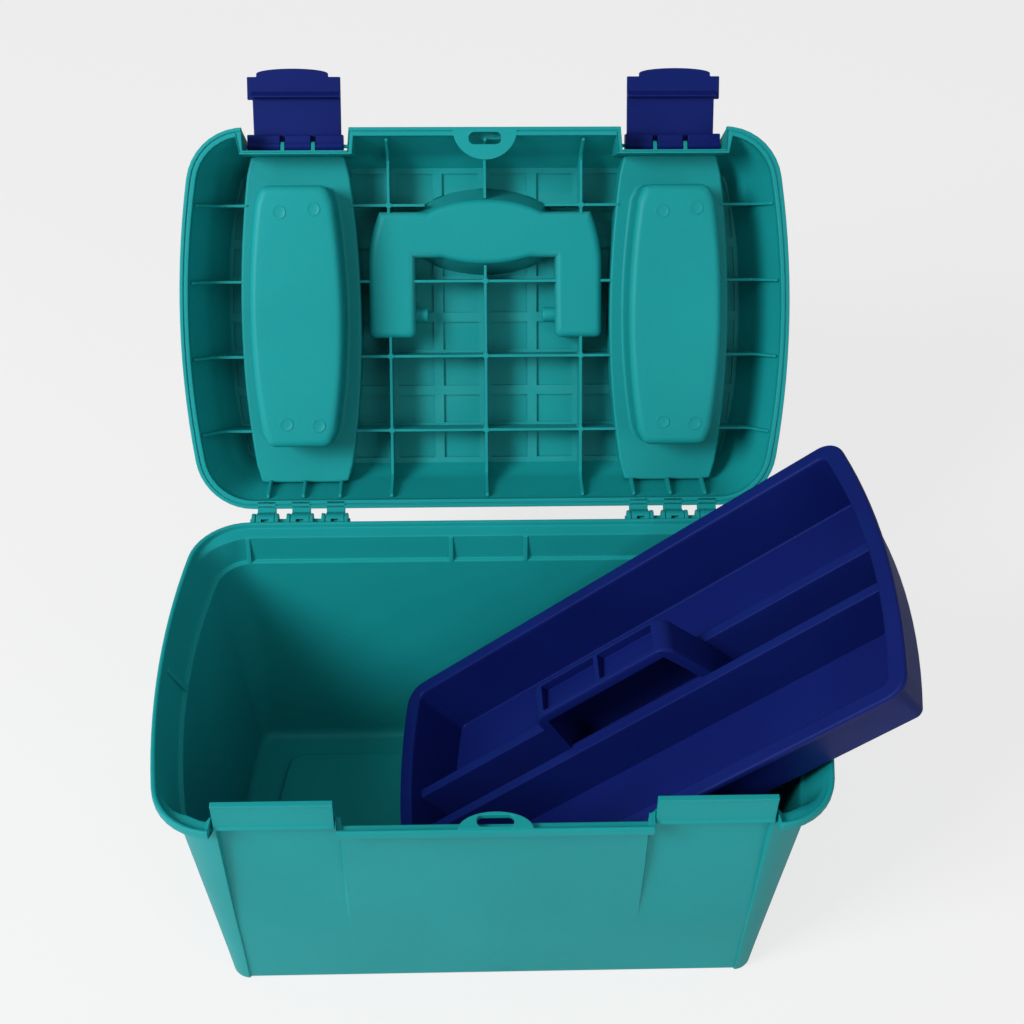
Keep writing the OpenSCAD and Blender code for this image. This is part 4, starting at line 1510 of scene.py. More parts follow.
    def bosses(self) -> Piece:
        """Small diamond bosses where the ribs cross."""
        low, high, r = self.up(self.rib_low) - self.boss_proud, self.top - self.sink, self.boss_r
        front, second, *_ = self.rib_rows
        hidden = {(0.0, front), (-self.rib_x, second), (self.rib_x, second)}
        places = [(x, y) for x in (-self.rib_x, 0.0, self.rib_x) for y in self.rib_rows]
        parts = [prism("boss", Axis.Z, low, high, [(x + r, y), (x, y + r), (x - r, y), (x, y - r)])
                 for x, y in places if (x, y) not in hidden]
        return soften(join("lid_rib_bosses", parts))

    def openings(self) -> list[Piece]:
        """Prisms over everything that opens or hangs below the roof, for trimming what lies under it."""
        *sizes, scoop_lap = self.trim_cut
        low, high = self.top - sizes[0], self.top + self.cut_over
        scoop = prism("cut", Axis.Z, low, high, self.scoop_outline(self.height, scoop_lap))
        return [*self.roof_cuts(*sizes), scoop]

    def roof_panels(self) -> Piece:
        """Raised lattice under the roof that leaves a shallow panel in each quarter of a rib cell."""

        def bars(middles: Outline, edge: Point2) -> Outline:
            """Ranges of bars with given middles and half widths, and of the two bars at the edges."""
            near, far = edge
            return [(-far, -near), *[(at - hw, at + hw) for at, hw in middles], (near, far)]

        columns = [(k * self.rib_x / 2, self.bar_hw if k % 2 else self.column_bar_hw) for k in range(-2, 3)]
        rows = [(k * self.rib_y / 2, self.row_bar_hw if k % 2 else self.bar_hw) for k in range(-3, 4)]
        low, high = self.top - self.wall - self.bar_deep, self.top - self.bar_drop
        slabs = lattice("lid_roof_panels", bars(columns, self.edge_bar_x), bars(rows, self.edge_bar_y),
                        low, high)
        parts = [combine(slabs, self.openings(), "DIFFERENCE")]
        for side in Side:
            shares = sorted((min(side * a, side * b), max(side * a, side * b)) for a, b in self.end_bars)
            parts.append(lattice("end", shares, bars(rows, self.end_bar_y), low + self.end_rise, high,
                                 self.end_place))
        return soften(join("lid_roof_panels", parts), width=0.22, angle=40.0)

    def end_place(self, share: float, y: float) -> float:
        """Place of a point of the lattice at an end of the roof.

        Args:
            share: Share of the way from the pocket channel to the roof's edge, negative for the left end.
            y: Distance of the point from the middle.

        Returns:
            Its x.
        """
        corner_r = self.end_corner_r
        inner = self.pocket_x + self.channel_hw(y) - self.end_lap
        turn = max(abs(y) - self.end_corner_y, 0.0)
        edge = self.sizes.rim_hw - self.bow_in(y) - self.top_in - self.end_gap
        outer = edge - corner_r + sqrt(corner_r**2 - turn**2)
        return copysign(inner + (outer - inner) * abs(share), share)

    def pocket(self, side: Side) -> Piece:
        """Channel with a rounded pocket below it, as one thin-walled trough."""
        middle = side * self.pocket_x
        down, deep, top = self.up(self.rib_low), self.up(-self.pocket_drop), self.top
        channel, pocket, wall = self.channel_outline, self.pocket_outline, self.wall

        def level(outline: Outline, z: float) -> list[Point3]:
            """Outline at a height, about the pocket's middle."""
            return [(x + middle, y, z) for x, y in outline]

        def long(inset: float) -> Outline:
            """Outline of the channel's underside, which runs on behind the pocket."""
            return barrel(*self.under_ends, self.under_widths, inset)

        turns = quarter_turn(6)
        rings = [level(pocket(self.pocket_cap), deep)]
        r = self.pocket_round
        rings += [level(pocket(r - r * sin(a)), deep + r - r * cos(a)) for a in turns]
        rings.append(level(pocket(0), down - self.neck_drop))
        r = self.neck_round
        rings += [level(pocket(-r * (1 - cos(a))), down - r + r * sin(a)) for a in turns[1:]]
        r = self.under_round
        rings += [level(long(r - r * sin(a)), down + r - r * cos(a)) for a in turns]
        under_drop, channel_drop = self.under_drops
        edge, edge_z, lip_z = self.channel_edge, top - self.channel_edge_drop, top - self.flush
        rings += [level(long(0), top - under_drop), level(channel(0), top - channel_drop),
                  level(channel(0), edge_z), level(channel(edge), lip_z),
                  level(channel(wall - edge), lip_z), level(channel(wall), edge_z),
                  level(channel(wall), down + wall), level(pocket(wall), down + wall)]
        r = self.pocket_inner_round
        rings += [level(pocket(wall + r - r * cos(a)), deep + wall + r - r * sin(a))
                  for a in turns]
        rings.append(level(pocket(wall + self.pocket_cap), deep + wall))
        counts = {len(ring) for ring in rings}
        if len(counts) != 1:
            raise ValueError(f"rings of a pocket differ: {counts}")
        return soften(loft(f"lid_pocket_{side.label}", rings), width=0.3, angle=45.0)

    def ejector_marks(self) -> Piece:
        """Round witness marks near the corners of each pocket's floor."""
        parts = []
        z = self.up(-self.pocket_drop)
        for side in Side:
            for x, y in self.mark_places:
                at = side * self.pocket_x + x
                rings = [[(at + r * cos(a), y + r * sin(a), z + h) for a in full_turn(MARK_STEPS)]
                         for r, h in self.mark_profile]
                parts.append(loft("mark", rings))
        marks = join("lid_ejector_marks", parts)
        marks.data.shade_smooth()
        return marks

    def well(self) -> Piece:
        """Well for the handle: a U with a flared finger scoop across its grip."""
        low, top, wall, turns = self.up(self.well_up), self.top, self.wall, quarter_turn(5)
        arm, scoop = self.arm_outline, self.scoop_outline

        def level(outline: Outline, z: float) -> list[Point3]:
            """Outline at a height."""
            return [(x, y, z) for x, y in outline]

        full, skirt, r = self.well_gap + wall, self.well_skirt, self.well_round
        rings = [level(arm(full - r + r * sin(a), skirt), low + r - r * cos(a)) for a in turns]
        outer = loft("lid_handle_well", rings + [level(arm(full, skirt), top - self.sink)])
        r = self.scoop_round
        rings = [level(scoop(self.well_up + r - r * cos(a), r - r * sin(a)),
                       low + r - r * cos(a)) for a in turns]
        rings.append(level(scoop(self.height - self.flush, 0), top - self.flush))
        combine(outer, [loft("scoop", rings)], "UNION")
        floor, floor_up, over, gap = low + wall, self.well_up + wall, self.well_over, self.well_gap
        r = self.well_inner_round
        cut_arm = loft("cut", [level(arm(gap - r), floor), level(arm(gap), floor + r),
                               level(arm(gap), top + over)])
        r = self.scoop_inner_round
        cut_scoop = loft("cut", [level(scoop(floor_up, wall + r), floor),
                                 level(scoop(floor_up + r, wall), floor + r),
                                 level(scoop(self.height + over, wall), top + over)])
        combine(outer, [cut_arm, cut_scoop], "DIFFERENCE")
        return soften(outer, angle=40.0)

    def pivots(self) -> Piece:
        """Bosses that hold the inner ends of the handle pins."""
        parts = []
        for side in Side:
            x = self.pivot_in if side is Side.RIGHT else -self.pivot_in - self.pivot_l
            start = (x, self.pivot_y, self.up(self.pivot_up))
            parts.append(rod("boss", start, self.pivot_l, self.pivot_r, self.pivot_edge))
        bosses = join("lid_handle_bosses", parts)
        bosses.data.shade_smooth()
        return soften(bosses, width=0.3, angle=40.0)

    def back_ribs(self) -> Piece:
        """Short ribs from the back of each channel down to the lip."""
        wall = self.rib_end(self.sizes.rim_hd)[1:-1]
        outline = [(self.back_rib_y, self.up(self.rib_low)), *wall,
                   (self.back_rib_y, self.top - self.back_rib_drop)]
        half = self.back_rib_t / 2
        places = [side * x for side in Side for x in self.back_rib_x]
        parts = [prism("rib", Axis.X, at - half, at + half, outline) for at in places]
        return soften(join("lid_back_ribs", parts), width=0.4)

    def lugs(self) -> Piece:
        """Lugs in the notches that carry the latches."""
        s = self.sizes
        y, z, seat, half = s.latch_y, self.up(s.latch_up), self.notch_y + self.lug_seat, self.lug_t / 2
        outline = circle((y, z), self.lug_r, 90, 270, LUG_STEPS)
        outline += [(seat, z - self.lug_hh), (seat, z + self.lug_hh)]
        places = [side * s.latch_x + lug for side in Side for lug in (-self.lug_x, self.lug_x)]
        parts = [prism("lug", Axis.X, x - half, x + half, outline) for x in places]
        return soften(join("lid_latch_lugs", parts), width=0.35)

    def hooks(self) -> Piece:
        """Hinge hooks that wrap round the pins between the ears."""
        s, low, r, hw, core = self.sizes, self.floor, self.hook_r, self.hook_w / 2, self.core_hw
        y, z, seat, high = s.axis_y, s.axis_z, s.rim_hd - self.hook_seat, self.floor + self.hook_h
        slope_y, slope_z = self.hook_slope
        outline = circle((y, z), r, -180, 0, HOOK_STEPS)
        outline += [(y + r, low + self.hook_rise), (y + slope_y, low + slope_z), (y, high), (seat, high),
                    (seat, low), (y - r, low)]
        foot = z - self.core_drop
        core_outline = [(y - core, foot), (y + core, foot), (y + core, z), (y - core, z)]
        bore_outline = circle((y, z), self.bore_r, 0, 345, BORE_STEPS)
        parts = []
        for x in (place for side in Side for place in s.hook_places(side)):
            hook = prism("hook", Axis.X, x - hw, x + hw, outline)
            cuts = [prism("core", Axis.X, x - core, x + core, core_outline),
                    prism("bore", Axis.X, x - self.hook_w, x + self.hook_w, bore_outline)]
            parts.append(combine(hook, cuts, "DIFFERENCE"))
        return soften(join("lid_hinge_hooks", parts), width=0.4, angle=40.0)

    def eye(self) -> Piece:
        """Padlock eye of the lid: a half-oval plate behind the front lip, with a slot."""
        low, high, s = self.floor, self.floor + self.eye_t, self.sizes
        outline = s.eye_outline(self.eye_y, self.eye_reach)
        plate = prism("lid_padlock_eye", Axis.Z, low + self.eye_lift, high, outline)
        slot = prism("slot", Axis.Z, low - EYE_OVER, high + EYE_OVER, s.slot_outline())
        return soften(combine(plate, [slot], "DIFFERENCE"))

    def build(self) -> None:
        """Builds and dresses the lid's pieces."""
        self.add(self.shell(), "lid")
        for side in Side:
            self.add(self.pocket(side))
        for piece in (self.ribs(), self.bosses(), self.roof_panels(), self.ejector_marks(),
                      self.well(), self.pivots(), self.back_ribs(), self.lugs(), self.hooks(), self.eye()):
            self.add(piece)


# Moving pieces on the lid


@dataclass
class Latch(SubAssembly):
    """Front latch, drawn shut about its pivot and turned up as the open latch stands."""

    side: Side
    half: float = 28.0
    outer: float = 29.4
    widen: float = 0.4
    length: float = 50.5
    plate_y: float = 6.2
    thick: float = 2.5
    shoulder: float = 45.2
    shoulder_round: float = 2.0
    tip_outer: float = 33.2
    tip_rise: float = 1.0
    outer_step: float = 6.2
    inner_step: float = 8.0
    hook_at: float = 31.5
    hook_outer: float = 30.6
    hook_reach: float = 5.7
    hook_tip: float = 1.2
    hook_h: float = 4.4
    hook_seat: float = 0.2
    knuckle_inner: float = 29.5
    knuckle_outer: float = 33.0
    knuckle_h: float = 7.6
    knuckle_y: float = 2.2
    knuckle_r: float = 3.3
    knuckle_edge: float = 0.8
    knuckle_draft: float = 0.3
    knuckle_chamfer: float = 1.0
    slit: Point2 = (8.3, 11.7)
    head_in: float = 0.3
    head_drop: float = 0.6
    head_gap: float = 0.4
    head_lift: float = 0.05

    def __post_init__(self) -> None:
        """Places the latch on the open lid."""
        s = self.sizes
        pivot = Vector((self.side * s.latch_x, s.latch_y, s.box_h + s.latch_up)) * MM
        turn = s.opened() @ Matrix.Translation(pivot) @ Matrix.Rotation(radians(-90), 4, "X")
        self.set_out(f"latch_{self.side.label}", BLUE, turn)

    def plate(self) -> Piece:
        """Plate with shouldered, arched tip, a little wider towards the box's end."""
        inner, wide, tip, shoulder = -self.half, self.outer, self.tip_outer, -self.shoulder
        start, tip_z = self.shoulder + self.shoulder_round, self.tip_rise - self.hook_at
        arch_low, arch_high = inner + self.inner_step, tip - self.outer_step
        middle, reach = (arch_high + arch_low) / 2, (arch_high - arch_low) / 2
        turns = [pi * i / ARCH_STEPS for i in range(ARCH_STEPS + 1)]
        arch = [(middle - reach * cos(a), -start - (self.length - start) * sin(a)) for a in turns]
        outline = [(inner, 0), (inner, shoulder), (arch_low, shoulder), *arch, (arch_high, shoulder),
                   (tip, shoulder), (tip, tip_z), (wide + self.widen, tip_z), (wide, 0)]
        plate = prism(f"latch_plate_{self.side.label}", Axis.Y, -self.plate_y - self.thick, -self.plate_y,
                      [(self.side * x, z) for x, z in outline])
        return soften(plate, width=0.6, segments=3)

    def knuckles(self) -> Piece:
        """Three knuckles round the pin, parted by slits, and the head that joins them to the plate."""
        r, front, back, foot = self.knuckle_r, -self.plate_y - self.thick, self.knuckle_y, -self.knuckle_h
        edge, chamfer, side = self.knuckle_edge, self.knuckle_chamfer, self.side
        outline = circle((0, 0), r, -degrees(acos(back / r)), 90, KNUCKLE_STEPS)
        outline += [(front + edge, r), (front, r - edge), (front + self.knuckle_draft, foot),
                    (back - chamfer, foot), (back, foot + chamfer)]
        near, far = self.slit
        parts = []
        for a, b in ((-self.knuckle_inner, -far), (-near, near), (far, self.knuckle_outer)):
            parts.append(prism("knuckle", Axis.X, side * a, side * b, outline))
        head_y, head_back, head_z = front + self.head_lift, -r - self.head_gap, r - self.head_drop
        head = [(head_y, head_z), (head_back, head_z), (head_back, -r), (head_y, -r)]
        start, end = self.head_in - self.half, self.outer - self.head_in
        parts.append(prism("head", Axis.X, side * start, side * end, head))
        return soften(join(f"latch_knuckles_{self.side.label}", parts), width=0.4)

    def ridge(self) -> Piece:
        """Hook across the inside of the plate that snaps under the catch."""
        y, at, side = -self.plate_y - self.hook_seat, -self.hook_at, self.side
        tip = y + self.hook_reach
        outline = [(y, at), (tip, at), (tip, at - self.hook_tip), (y, at - self.hook_h)]
        start, end = side * (self.hook_seat - self.half), side * self.hook_outer
        return soften(prism(f"latch_hook_{self.side.label}", Axis.X, start, end, outline), width=0.4)

    def build(self) -> None:
        """Builds and dresses the latch."""
        self.add(self.plate(), f"latch_{self.side.label}")
        self.add(self.knuckles())
        self.add(self.ridge())


@dataclass
class Handle(SubAssembly):
    """Carrying handle that folds into its well in the lid."""

    lid: Lid
    thick: float = 16.0
    arm_start: float = 3.0
    arm_bend: float = 30.0
    arm_bend_in: float = 6.5
    arm_r: float = 3.5
    eye_turn: float = 84.0
    eye_round: float = 0.9
    grip_in: float = 6.6
    grip_end: float = 5.0
    end_share: float = 0.5
    swell: float = 0.04

    def __post_init__(self) -> None:
        """Places the handle on the open lid."""
        self.set_out("handle", BLUE, self.sizes.opened())

    def arm(self, side: Side) -> Piece:
        """Arm with a round eye at its pivot and a curved outer side."""
        lid = self.lid
        middle, half, front = lid.up(lid.pivot_up), self.thick / 2, lid.grip_front + self.arm_start

        def level(y: float, outer: float, half_h: float, r: float) -> list[Point3]:
            """Section of the arm at a place along it."""
            outline = rounded_box((lid.arm_in, middle - half_h), (outer, middle + half_h), r)
            return [(side * x, y, z) for x, z in outline]

        rings = []
        for i in range(HANDLE_STEPS + 1):
            y = front + (lid.pivot_y - front) * i / HANDLE_STEPS
            t = min((y - lid.grip_front) / self.arm_bend, 1.0)
            rings.append(level(y, lid.arm_out - self.arm_bend_in * (1 - t) ** 2, half, self.arm_r))
        for i in range(1, HANDLE_EYE_STEPS + 1):
            a = radians(self.eye_turn * i / HANDLE_EYE_STEPS)
            half_h = half * cos(a)
            r = min(self.arm_r, half_h * self.eye_round)
            rings.append(level(lid.pivot_y + half * sin(a), lid.arm_out, half_h, r))
        return loft("arm", rings)

    def grip(self) -> Piece:
        """Oval grip between the arms, a little fuller in its middle."""
        lid = self.lid
        middle, z = lid.grip_front + lid.grip_d / 2, lid.up(lid.pivot_up)
        reach = lid.arm_out - self.grip_in
        rings = []
        for i in range(GRIP_STEPS + 1):
            x = -reach + 2 * reach * i / GRIP_STEPS
            end = max(abs(x) - (reach - self.grip_end), 0) / self.grip_end
            swell = sqrt(max(1 - end * end * self.end_share, 0)) * (1 - self.swell * (x / reach) ** 2)
            a, b = lid.grip_d / 2 * swell, self.thick / 2 * swell
            rings.append([(x, middle + a * cos(t), z + b * sin(t))
                          for t in full_turn(GRIP_STEPS)])
        return loft("grip", rings)

    def build(self) -> None:
        """Builds and dresses the handle."""
        handle = join("carry_handle_grip", [self.arm(Side.LEFT), self.arm(Side.RIGHT), self.grip()])
        self.add(soften(handle, width=0.4, angle=40.0), "carry_handle")


@dataclass
class PocketCover(SubAssembly):
    """Hinged cover of one lid pocket.

    The edge holds insets and depths below the panel's top from its underside to its middle, and the dish
    holds shares of its size with heights.
    """

    lid: Lid
    side: Side
    drop: float = 0.5
    low_drop: float = 3.35
    gap: float = 2.9
    back_in: float = 1.6
    back_y: float = 100.2
    neck_hw: float = 27.4
    neck_from: float = 84.0
    under_edge: float = 0.4
    edge: Points = ((0.0, 1.2), (0.35, 0.35), (1.2, 0.0), (6.0, 0.0), (6.7, 0.5), (9.0, 0.5))
    dish_y: float = -90.0
    dish_size: Point2 = (11.0, 7.0)
    dish: Points = ((0.72, -1.9), (0.9, -1.4), (1.0, -0.4), (1.02, 1.0))
    lug_y: float = 97.0
    lug_up: float = 51.0
    lug_r: float = 3.4
    lug_back: float = 3.2
    lug_drop: float = 2.0
    lug_x: float = 18.0
    lug_t: float = 5.0

    def __post_init__(self) -> None:
        """Places the cover on the open lid."""
        self.set_out(f"cover_{self.side.label}", BLUE, self.sizes.opened())

    def panel(self) -> Piece:
        """Panel with rounded upper edges and a shallow thumb dish at its front."""
        lid, middle = self.lid, self.side * self.lid.pocket_x
        front_hw, mid_hw, back_hw = lid.channel_widths
        widths = (front_hw, mid_hw, back_hw - self.back_in)
        top, low = lid.top - self.drop, lid.top - self.low_drop

        def level(inset: float, z: float) -> list[Point3]:
            """Outline at a height, drawn in at the hinge and cut off behind it."""
            outline = barrel(-lid.channel_reach, lid.channel_reach, widths, self.gap + inset)
            neck, back = self.neck_hw - inset, self.back_y - inset
            return [(middle + (max(min(x, neck), -neck) if y > self.neck_from else x), min(y, back), z)
                    for x, y in outline]

        rings = [level(self.under_edge, low), level(0, low + self.under_edge)]
        rings += [level(inset, top - drop) for inset, drop in self.edge]
        panel = loft(f"cover_panel_{self.side.label}", rings)
        wide, deep = self.dish_size
        dish = [[(middle + wide * k * cos(t), self.dish_y + deep * k * sin(t), top + z)
                 for t in full_turn(DISH_STEPS)] for k, z in self.dish]
        return soften(combine(panel, [loft("dish", dish)], "DIFFERENCE"), width=0.3, angle=40.0)

    def lugs(self) -> Piece:
        """Two lugs that turn on the cover's pin."""
        lid = self.lid
        y, z, high, half = self.lug_y, lid.up(self.lug_up), lid.top - self.lug_drop, self.lug_t / 2
        outline = circle((y, z), self.lug_r, 180, 360, LUG_STEPS)
        outline += [(y + self.lug_back, high), (y - self.lug_r, high)]
        places = [self.side * lid.pocket_x + x for x in (-self.lug_x, self.lug_x)]
        parts = [prism("lug", Axis.X, at - half, at + half, outline) for at in places]
        return soften(join(f"cover_lugs_{self.side.label}", parts), width=0.4)

    def build(self) -> None:
        """Builds and dresses the cover."""
        self.add(self.panel(), f"pocket_cover_{self.side.label}")
        self.add(self.lugs())


# Tray


@dataclass
class Tray(SubAssembly):
    """Lift-out tray with two bays, a channel and a bridge handle, leaning in the tub.

    Heights are measured from the tray's rim, and those of the bridge's stops from the bridge's top.
    """

    # Shell
    hl: float = 186.0
    hw: float = 98.6
    height: float = 44.4
    bow: float = 10.8
    r: float = 15.6
    least_r: float = 5.0
    rim: float = 10.0
    wall: float = 2.2
    draft: float = 5.5
    end_draft: float = 3.1
    cap_in: float = 40.0
    under_drop: float = 3.0
    lip_drop: float = 4.4
    lip_in: float = 0.3
    edge_drop: float = 1.2
    edge_in: float = 0.9
    inner_edge: float = 1.0
    rounds: Floats = (2.5, 1.0, 0.6, 1.2, 1.2, 1.0, 1.0, 1.2)
    window: Point3 = (50.0, 9.0, 1.5)
    window_reach: Point2 = (4.0, 8.0)

    # Runners and dividers
    runner_hl: float = 140.0
    runner_hw: float = 2.5
    runner_r: float = 2.0
    divider_y: float = 15.6
    divider_top: float = -10.5
    divider_lap: float = 0.2
    divider_draft: float = 2.0
    divider_foot_hw: float = 6.5
    divider_stops: Points = ((1.0, 3.4), (0.3, 3.2), (0.0, 2.7))

    # Bridge handle, its hand hole and its dips
    bridge_hw: float = 12.8
    bridge_up: float = 27.5
    bridge_r: float = 2.5
    bridge_foot_hl: float = 61.5
    bridge_rim: Point2 = (-4.0, 55.2)
    bridge_stops: tuple[Point3, ...] = ((8.0, 51.6, 0.0), (4.0, 50.2, 0.0), (1.6, 48.0, 0.2),
                                        (0.4, 45.4, 0.7), (0.0, 43.0, 1.3))
    bridge_over: float = 2.0
    bridge_skin: float = 2.5
    hole_hw: float = 50.0
    hole_taper: float = 6.0 / 31.0
    hole_below: float = 5.0
    hole_drops: Point3 = (6.2, 7.2, 8.6)
    dip_x: Point2 = (1.6, 42.0)
    dip_front: float = 4.0
    dip_drops: Point2 = (4.6, 6.6)

    # Place in the tub
    lean: float = 40.47
    roll: float = 2.45
    yaw: float = 0.35
    rest_in: float = 16.797
    rest_along: float = 95.105
    rest_up: float = 46.0
    rest_y: float = 1.5

    def __post_init__(self) -> None:
        """Leans the tray on the tub's right end."""
        place = Vector((self.sizes.rim_hw - self.rest_in, self.rest_y, self.sizes.box_h)) * MM
        yaw = Matrix.Rotation(radians(self.yaw), 4, "Z")
        lean = Matrix.Rotation(radians(-self.lean), 4, "Y")
        roll = Matrix.Rotation(radians(self.roll), 4, "X")
        shift = Vector((-self.rest_along, 0, self.rest_up)) * MM
        turn = Matrix.Translation(place) @ (yaw @ lean @ roll) @ Matrix.Translation(shift)
        self.set_out("tray", BLUE, turn)

    @property
    def floor_middle(self) -> float:
        """Height of the middle of the floor's thickness."""
        return -self.height + self.wall / 2

    def hole_half(self, z: float) -> float:
        """Half width of the hand hole at a height."""
        return self.hole_hw - self.hole_taper * max(z - self.divider_top, 0.0)

    def ring(self, inset: float, z: float, longer: float = 0.0) -> Ring:
        """Ring of the tray at an inset, longer at each end."""
        r = max(self.r - inset, self.least_r)
        return Ring(self.hl - inset + longer, self.hw - inset, self.bow, r, z, OUTSIDE, 1.0)

    def shell(self) -> Piece:
        """Thin-walled tray with a flat, rounded rim that turns down and a window below its handle."""
        ring, low, floor = self.ring, -self.height, -self.height + self.wall
        out, longer = self.rim - self.wall, self.draft - self.end_draft
        levels = [ring(out + self.draft, low, longer), ring(out, -self.under_drop),
                  ring(self.lip_in, -self.lip_drop), ring(0, -self.edge_drop), ring(self.edge_in, 0),
                  ring(self.rim - self.inner_edge, 0), ring(self.rim, -self.edge_drop),
                  ring(self.rim + self.draft, floor, longer)]
        stops = [(ring(self.cap_in, low), 0.0), *zip(levels, self.rounds), (ring(self.cap_in, floor), 0.0)]
        rings = [[(x, y, level.z) for x, y in ring_points(level)] for level in rounded_profile(stops, 4)]
        shell = loft("tray_shell", rings)
        (half_l, half_w, r), (below, above) = self.window, self.window_reach
        window = prism("window", Axis.Z, low - below, low + above,
                       rounded_box((-half_l, -half_w), (half_l, half_w), r))
        return soften(combine(shell, [window], "DIFFERENCE"), width=0.3, angle=45.0)

    def runners(self) -> Piece:
        """Two low runners under the floor, on which the tray stands."""
        parts = []
        for side in Side:
            y = side * self.divider_y
            low, high = (-self.runner_hl, y - self.runner_hw), (self.runner_hl, y + self.runner_hw)
            outline = rounded_box(low, high, self.runner_r)
            parts.append(prism("runner", Axis.Z, -self.rest_up, self.floor_middle, outline))
        return soften(join("tray_runners", parts))

    def dividers(self) -> Piece:
        """Two long dividers either side of the middle channel."""
        top, foot = self.hl - self.rim + self.divider_lap, self.hl - self.rim - self.divider_draft
        stops = [(self.floor_middle, self.divider_foot_hw, foot)]
        stops += [(self.divider_top - drop, half, top) for drop, half in self.divider_stops]
        parts = []
        for side in Side:
            y = side * self.divider_y
            rings = [[(-reach, y - half, z), (reach, y - half, z), (reach, y + half, z),
                      (-reach, y + half, z)] for z, half, reach in stops]
            parts.append(loft("divider", rings))
        return soften(join("tray_dividers", parts), width=0.3)

    def bridge(self) -> Piece:
        """Hollow bridge handle, open in front and below, with two shallow dips in its top."""
        half, up, low, skin = self.bridge_hw, self.bridge_up, self.floor_middle, self.bridge_skin

        def frame(z: float, hx: float, hy: float) -> list[Point3]:
            """Rectangle with round corners at a height."""
            return [(x, y, z) for x, y in rounded_box((-hx, -hy), (hx, hy), self.bridge_r, 4)]

        rings = [frame(low, self.bridge_foot_hl, half), frame(*self.bridge_rim, half)]
        rings += [frame(up - drop, hx, half - inset) for drop, hx, inset in self.bridge_stops]
        block = loft("tray_bridge", rings)
        front, inner, back = -half - self.bridge_over, skin - half, half - skin
        lip_drop, front_drop, back_drop = self.hole_drops
        below = [(front, up - lip_drop), (front, self.divider_top), (inner, self.divider_top),
                 (inner, low - self.hole_below), (back, low - self.hole_below), (back, up - back_drop),
                 (inner, up - front_drop)]
        cuts = [loft("hollow", [[(side * self.hole_half(z), y, z) for y, z in below]
                                for side in Side])]
        dip_front, (front_drop, back_drop) = self.dip_front - half, self.dip_drops
        over = up + self.bridge_over
        dip = [(dip_front, over), (dip_front, up - front_drop), (back, up - back_drop), (back, over)]
        start, end = self.dip_x
        for side in Side:
            cuts.append(prism("dip", Axis.X, side * start, side * end, dip))
        return soften(combine(block, cuts, "DIFFERENCE"), width=0.6, segments=3, angle=40.0)

    def build(self) -> None:
        """Builds and dresses the tray."""
        self.add(self.shell(), "tray")
        self.add(self.runners())
        self.add(self.dividers())
        self.add(self.bridge())


# Pins


@dataclass
class Pins:
    """Hinge pins, kept as the solids they are and dressed."""

    shop: PlasticShop
    nodes: dict[str, Piece]
    weld_mm: float = 0.005

    def build(self) -> None:
        """Softens and colours every pin."""
        for name, obj in sorted(self.nodes.items()):
            if "_pin_" not in name:
                continue
            finish = TEAL if name.startswith(("hinge", "latch")) else BLUE
            obj.data.materials.clear()
            obj.data.materials.append(self.shop.plastic(finish))
            weld = obj.modifiers.new("weld", "WELD")
            weld.merge_threshold = self.weld_mm * MM
            soften(obj, width=0.3, angle=40.0)
            LOG.info("%s keeps its solid", name)


# Stage


@dataclass(frozen=True)
class Lamp:
    """A soft square lamp, with lengths in metres and power in watts."""

    name: str
    place: Point3
    aim: Point3
    size: float
    power: float

    def build(self) -> None:
        """Adds the lamp to the scene."""
        data = bpy.data.lights.new(self.name, "AREA")
        data.size = self.size
        data.energy = self.power
        lamp = new_object(self.name, data)
        lamp.location = self.place
        lamp.rotation_euler = (Vector(self.aim) - Vector(self.place)).to_track_quat("-Z", "Y").to_euler()


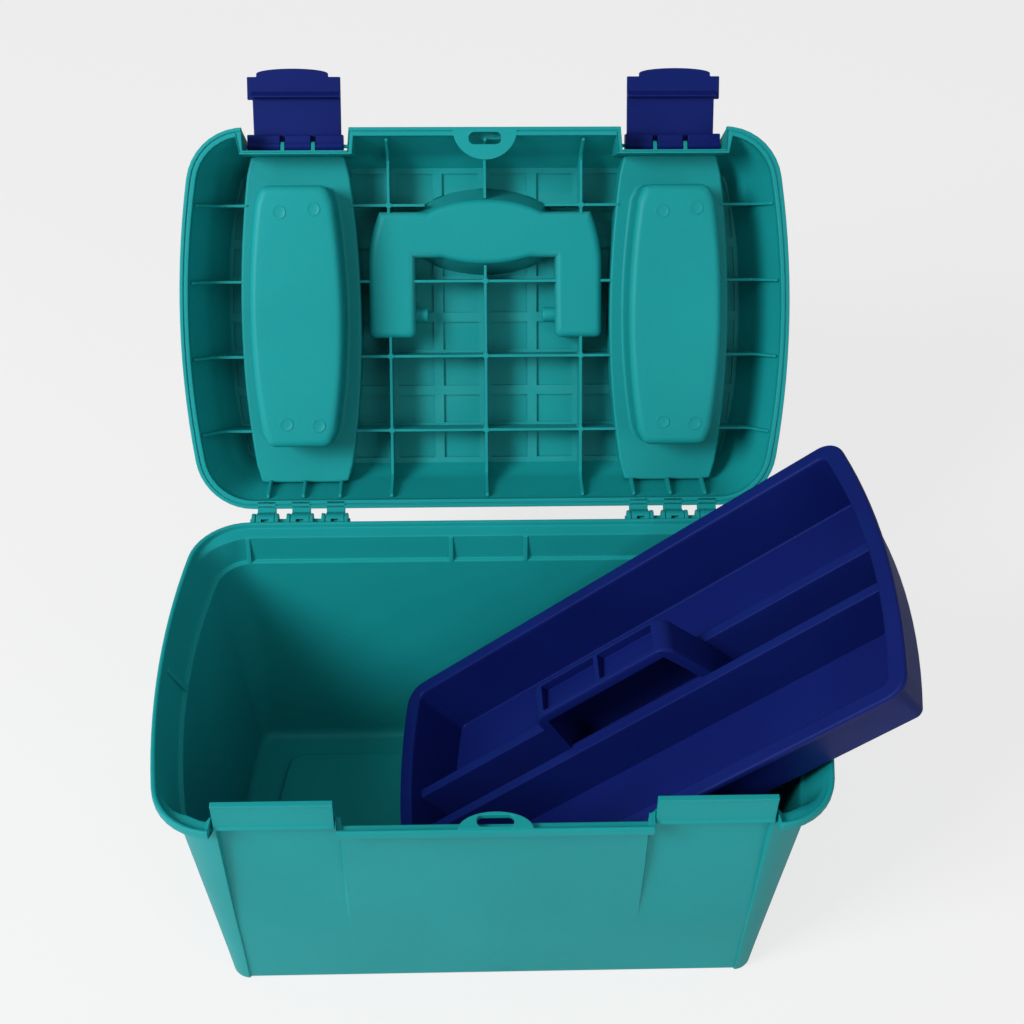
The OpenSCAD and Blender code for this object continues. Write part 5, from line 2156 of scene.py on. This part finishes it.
@dataclass(frozen=True)
class Studio:
    """Floor, soft light and camera, whose angles are in degrees for the pitch and radians for the rest."""

    sensor: float = 36.0
    focal_px: float = 1678
    photo_px: float = 1024
    pitch: float = 43.067
    yaw: float = 0.040
    roll: float = 0.018
    place: Point3 = (-16.51, -678.05, 943.72)
    pale: float = 0.838
    floor_half: float = 4000.0
    floor_rough: float = 0.9
    floor_glow: float = 1.13
    glow_share: float = 0.80
    world_light: float = 0.25
    lamps: tuple[Lamp, ...] = (Lamp("key", (-1.62, -1.12, 1.72), (0.0, 0.1, 0.24), 0.9, 49.0),
                               Lamp("fill", (1.25, -1.75, 1.25), (0.0, 0.1, 0.24), 1.2, 8.5),
                               Lamp("top", (-0.25, -0.45, 2.1), (0.0, 0.1, 0.2), 1.2, 3.0))

    @property
    def paper(self) -> tuple[float, float, float, float]:
        """Pale colour of the floor and the surroundings."""
        return (self.pale, self.pale, self.pale, 1.0)

    def floor(self) -> None:
        """Pale floor that keeps the box's shadow."""
        half = self.floor_half
        corners = [(-half, -half, 0.0), (half, -half, 0.0), (half, half, 0.0), (-half, half, 0.0)]
        floor = make_object("floor", corners, [[0, 1, 2, 3]])
        material = bpy.data.materials.new("pale_floor")
        material.use_nodes = True
        desk, nodes = NodeDesk(material.node_tree), material.node_tree.nodes
        shader = nodes["Principled BSDF"]
        desk.fill(shader, {"Base Color": self.paper, "Roughness": self.floor_rough})
        glow = desk.add("Emission", {"Color": self.paper, "Strength": self.floor_glow})
        path = desk.add("LightPath")
        share = desk.add("Math", {1: self.glow_share}, operation="MULTIPLY")
        desk.link(path, "Is Camera Ray", share, 0)
        mix = desk.add("MixShader")
        desk.link(share, 0, mix, "Fac")
        desk.link(shader, "BSDF", mix, 1)
        desk.link(glow, "Emission", mix, 2)
        desk.link(mix, "Shader", nodes["Material Output"], "Surface")
        floor.data.materials.append(material)

    def light(self) -> None:
        """World and lamps at a plain level."""
        world = bpy.data.worlds.new("studio")
        bpy.context.scene.world = world
        world.use_nodes = True
        desk, nodes = NodeDesk(world.node_tree), world.node_tree.nodes
        back = nodes["Background"]
        desk.fill(back, {"Color": self.paper, "Strength": self.world_light})
        seen = desk.add("Background", {"Color": self.paper})
        path = desk.add("LightPath")
        mix = desk.add("MixShader")
        desk.link(path, "Is Camera Ray", mix, "Fac")
        desk.link(back, "Background", mix, 1)
        desk.link(seen, "Background", mix, 2)
        desk.link(mix, "Shader", nodes["World Output"], "Surface")
        for lamp in self.lamps:
            lamp.build()

    def camera(self) -> None:
        """Camera at the photograph's viewing angle."""
        data = bpy.data.cameras.new("camera")
        data.lens = self.focal_px / self.photo_px * self.sensor
        data.sensor_width = self.sensor
        camera = new_object("camera", data)
        p, y, r = radians(self.pitch), self.yaw, self.roll
        ahead = Vector((sin(y) * cos(p), cos(y) * cos(p), -sin(p)))
        right = Vector((cos(y), -sin(y), 0))
        up = right.cross(ahead)
        across = right * cos(r) + up * sin(r)
        upward = -right * sin(r) + up * cos(r)
        turn = Matrix((across, upward, -ahead)).transposed().to_4x4()
        turn.translation = Vector(self.place) * MM
        camera.matrix_world = turn
        bpy.context.scene.camera = camera
        bpy.context.scene.view_settings.view_transform = "Standard"

    def build(self) -> None:
        """Builds the stage."""
        self.floor()
        self.light()
        self.camera()


def main() -> None:
    """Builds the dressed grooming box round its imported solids."""
    logging.basicConfig(level=logging.INFO, format="%(name)s: %(message)s")
    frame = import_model()
    Studio().build()
    shop, sizes = PlasticShop(), BoxSizes()
    lid = Lid(shop, sizes)
    groups: list[Any] = [Tub(shop, sizes), lid, Handle(shop, sizes, lid), Tray(shop, sizes)]
    groups += [Latch(shop, sizes, side) for side in Side]
    groups += [PocketCover(shop, sizes, lid, side) for side in Side]
    groups.append(Pins(shop, frame["nodes"]))
    for group in groups:
        group.build()


if __name__ == "__main__":
    main()
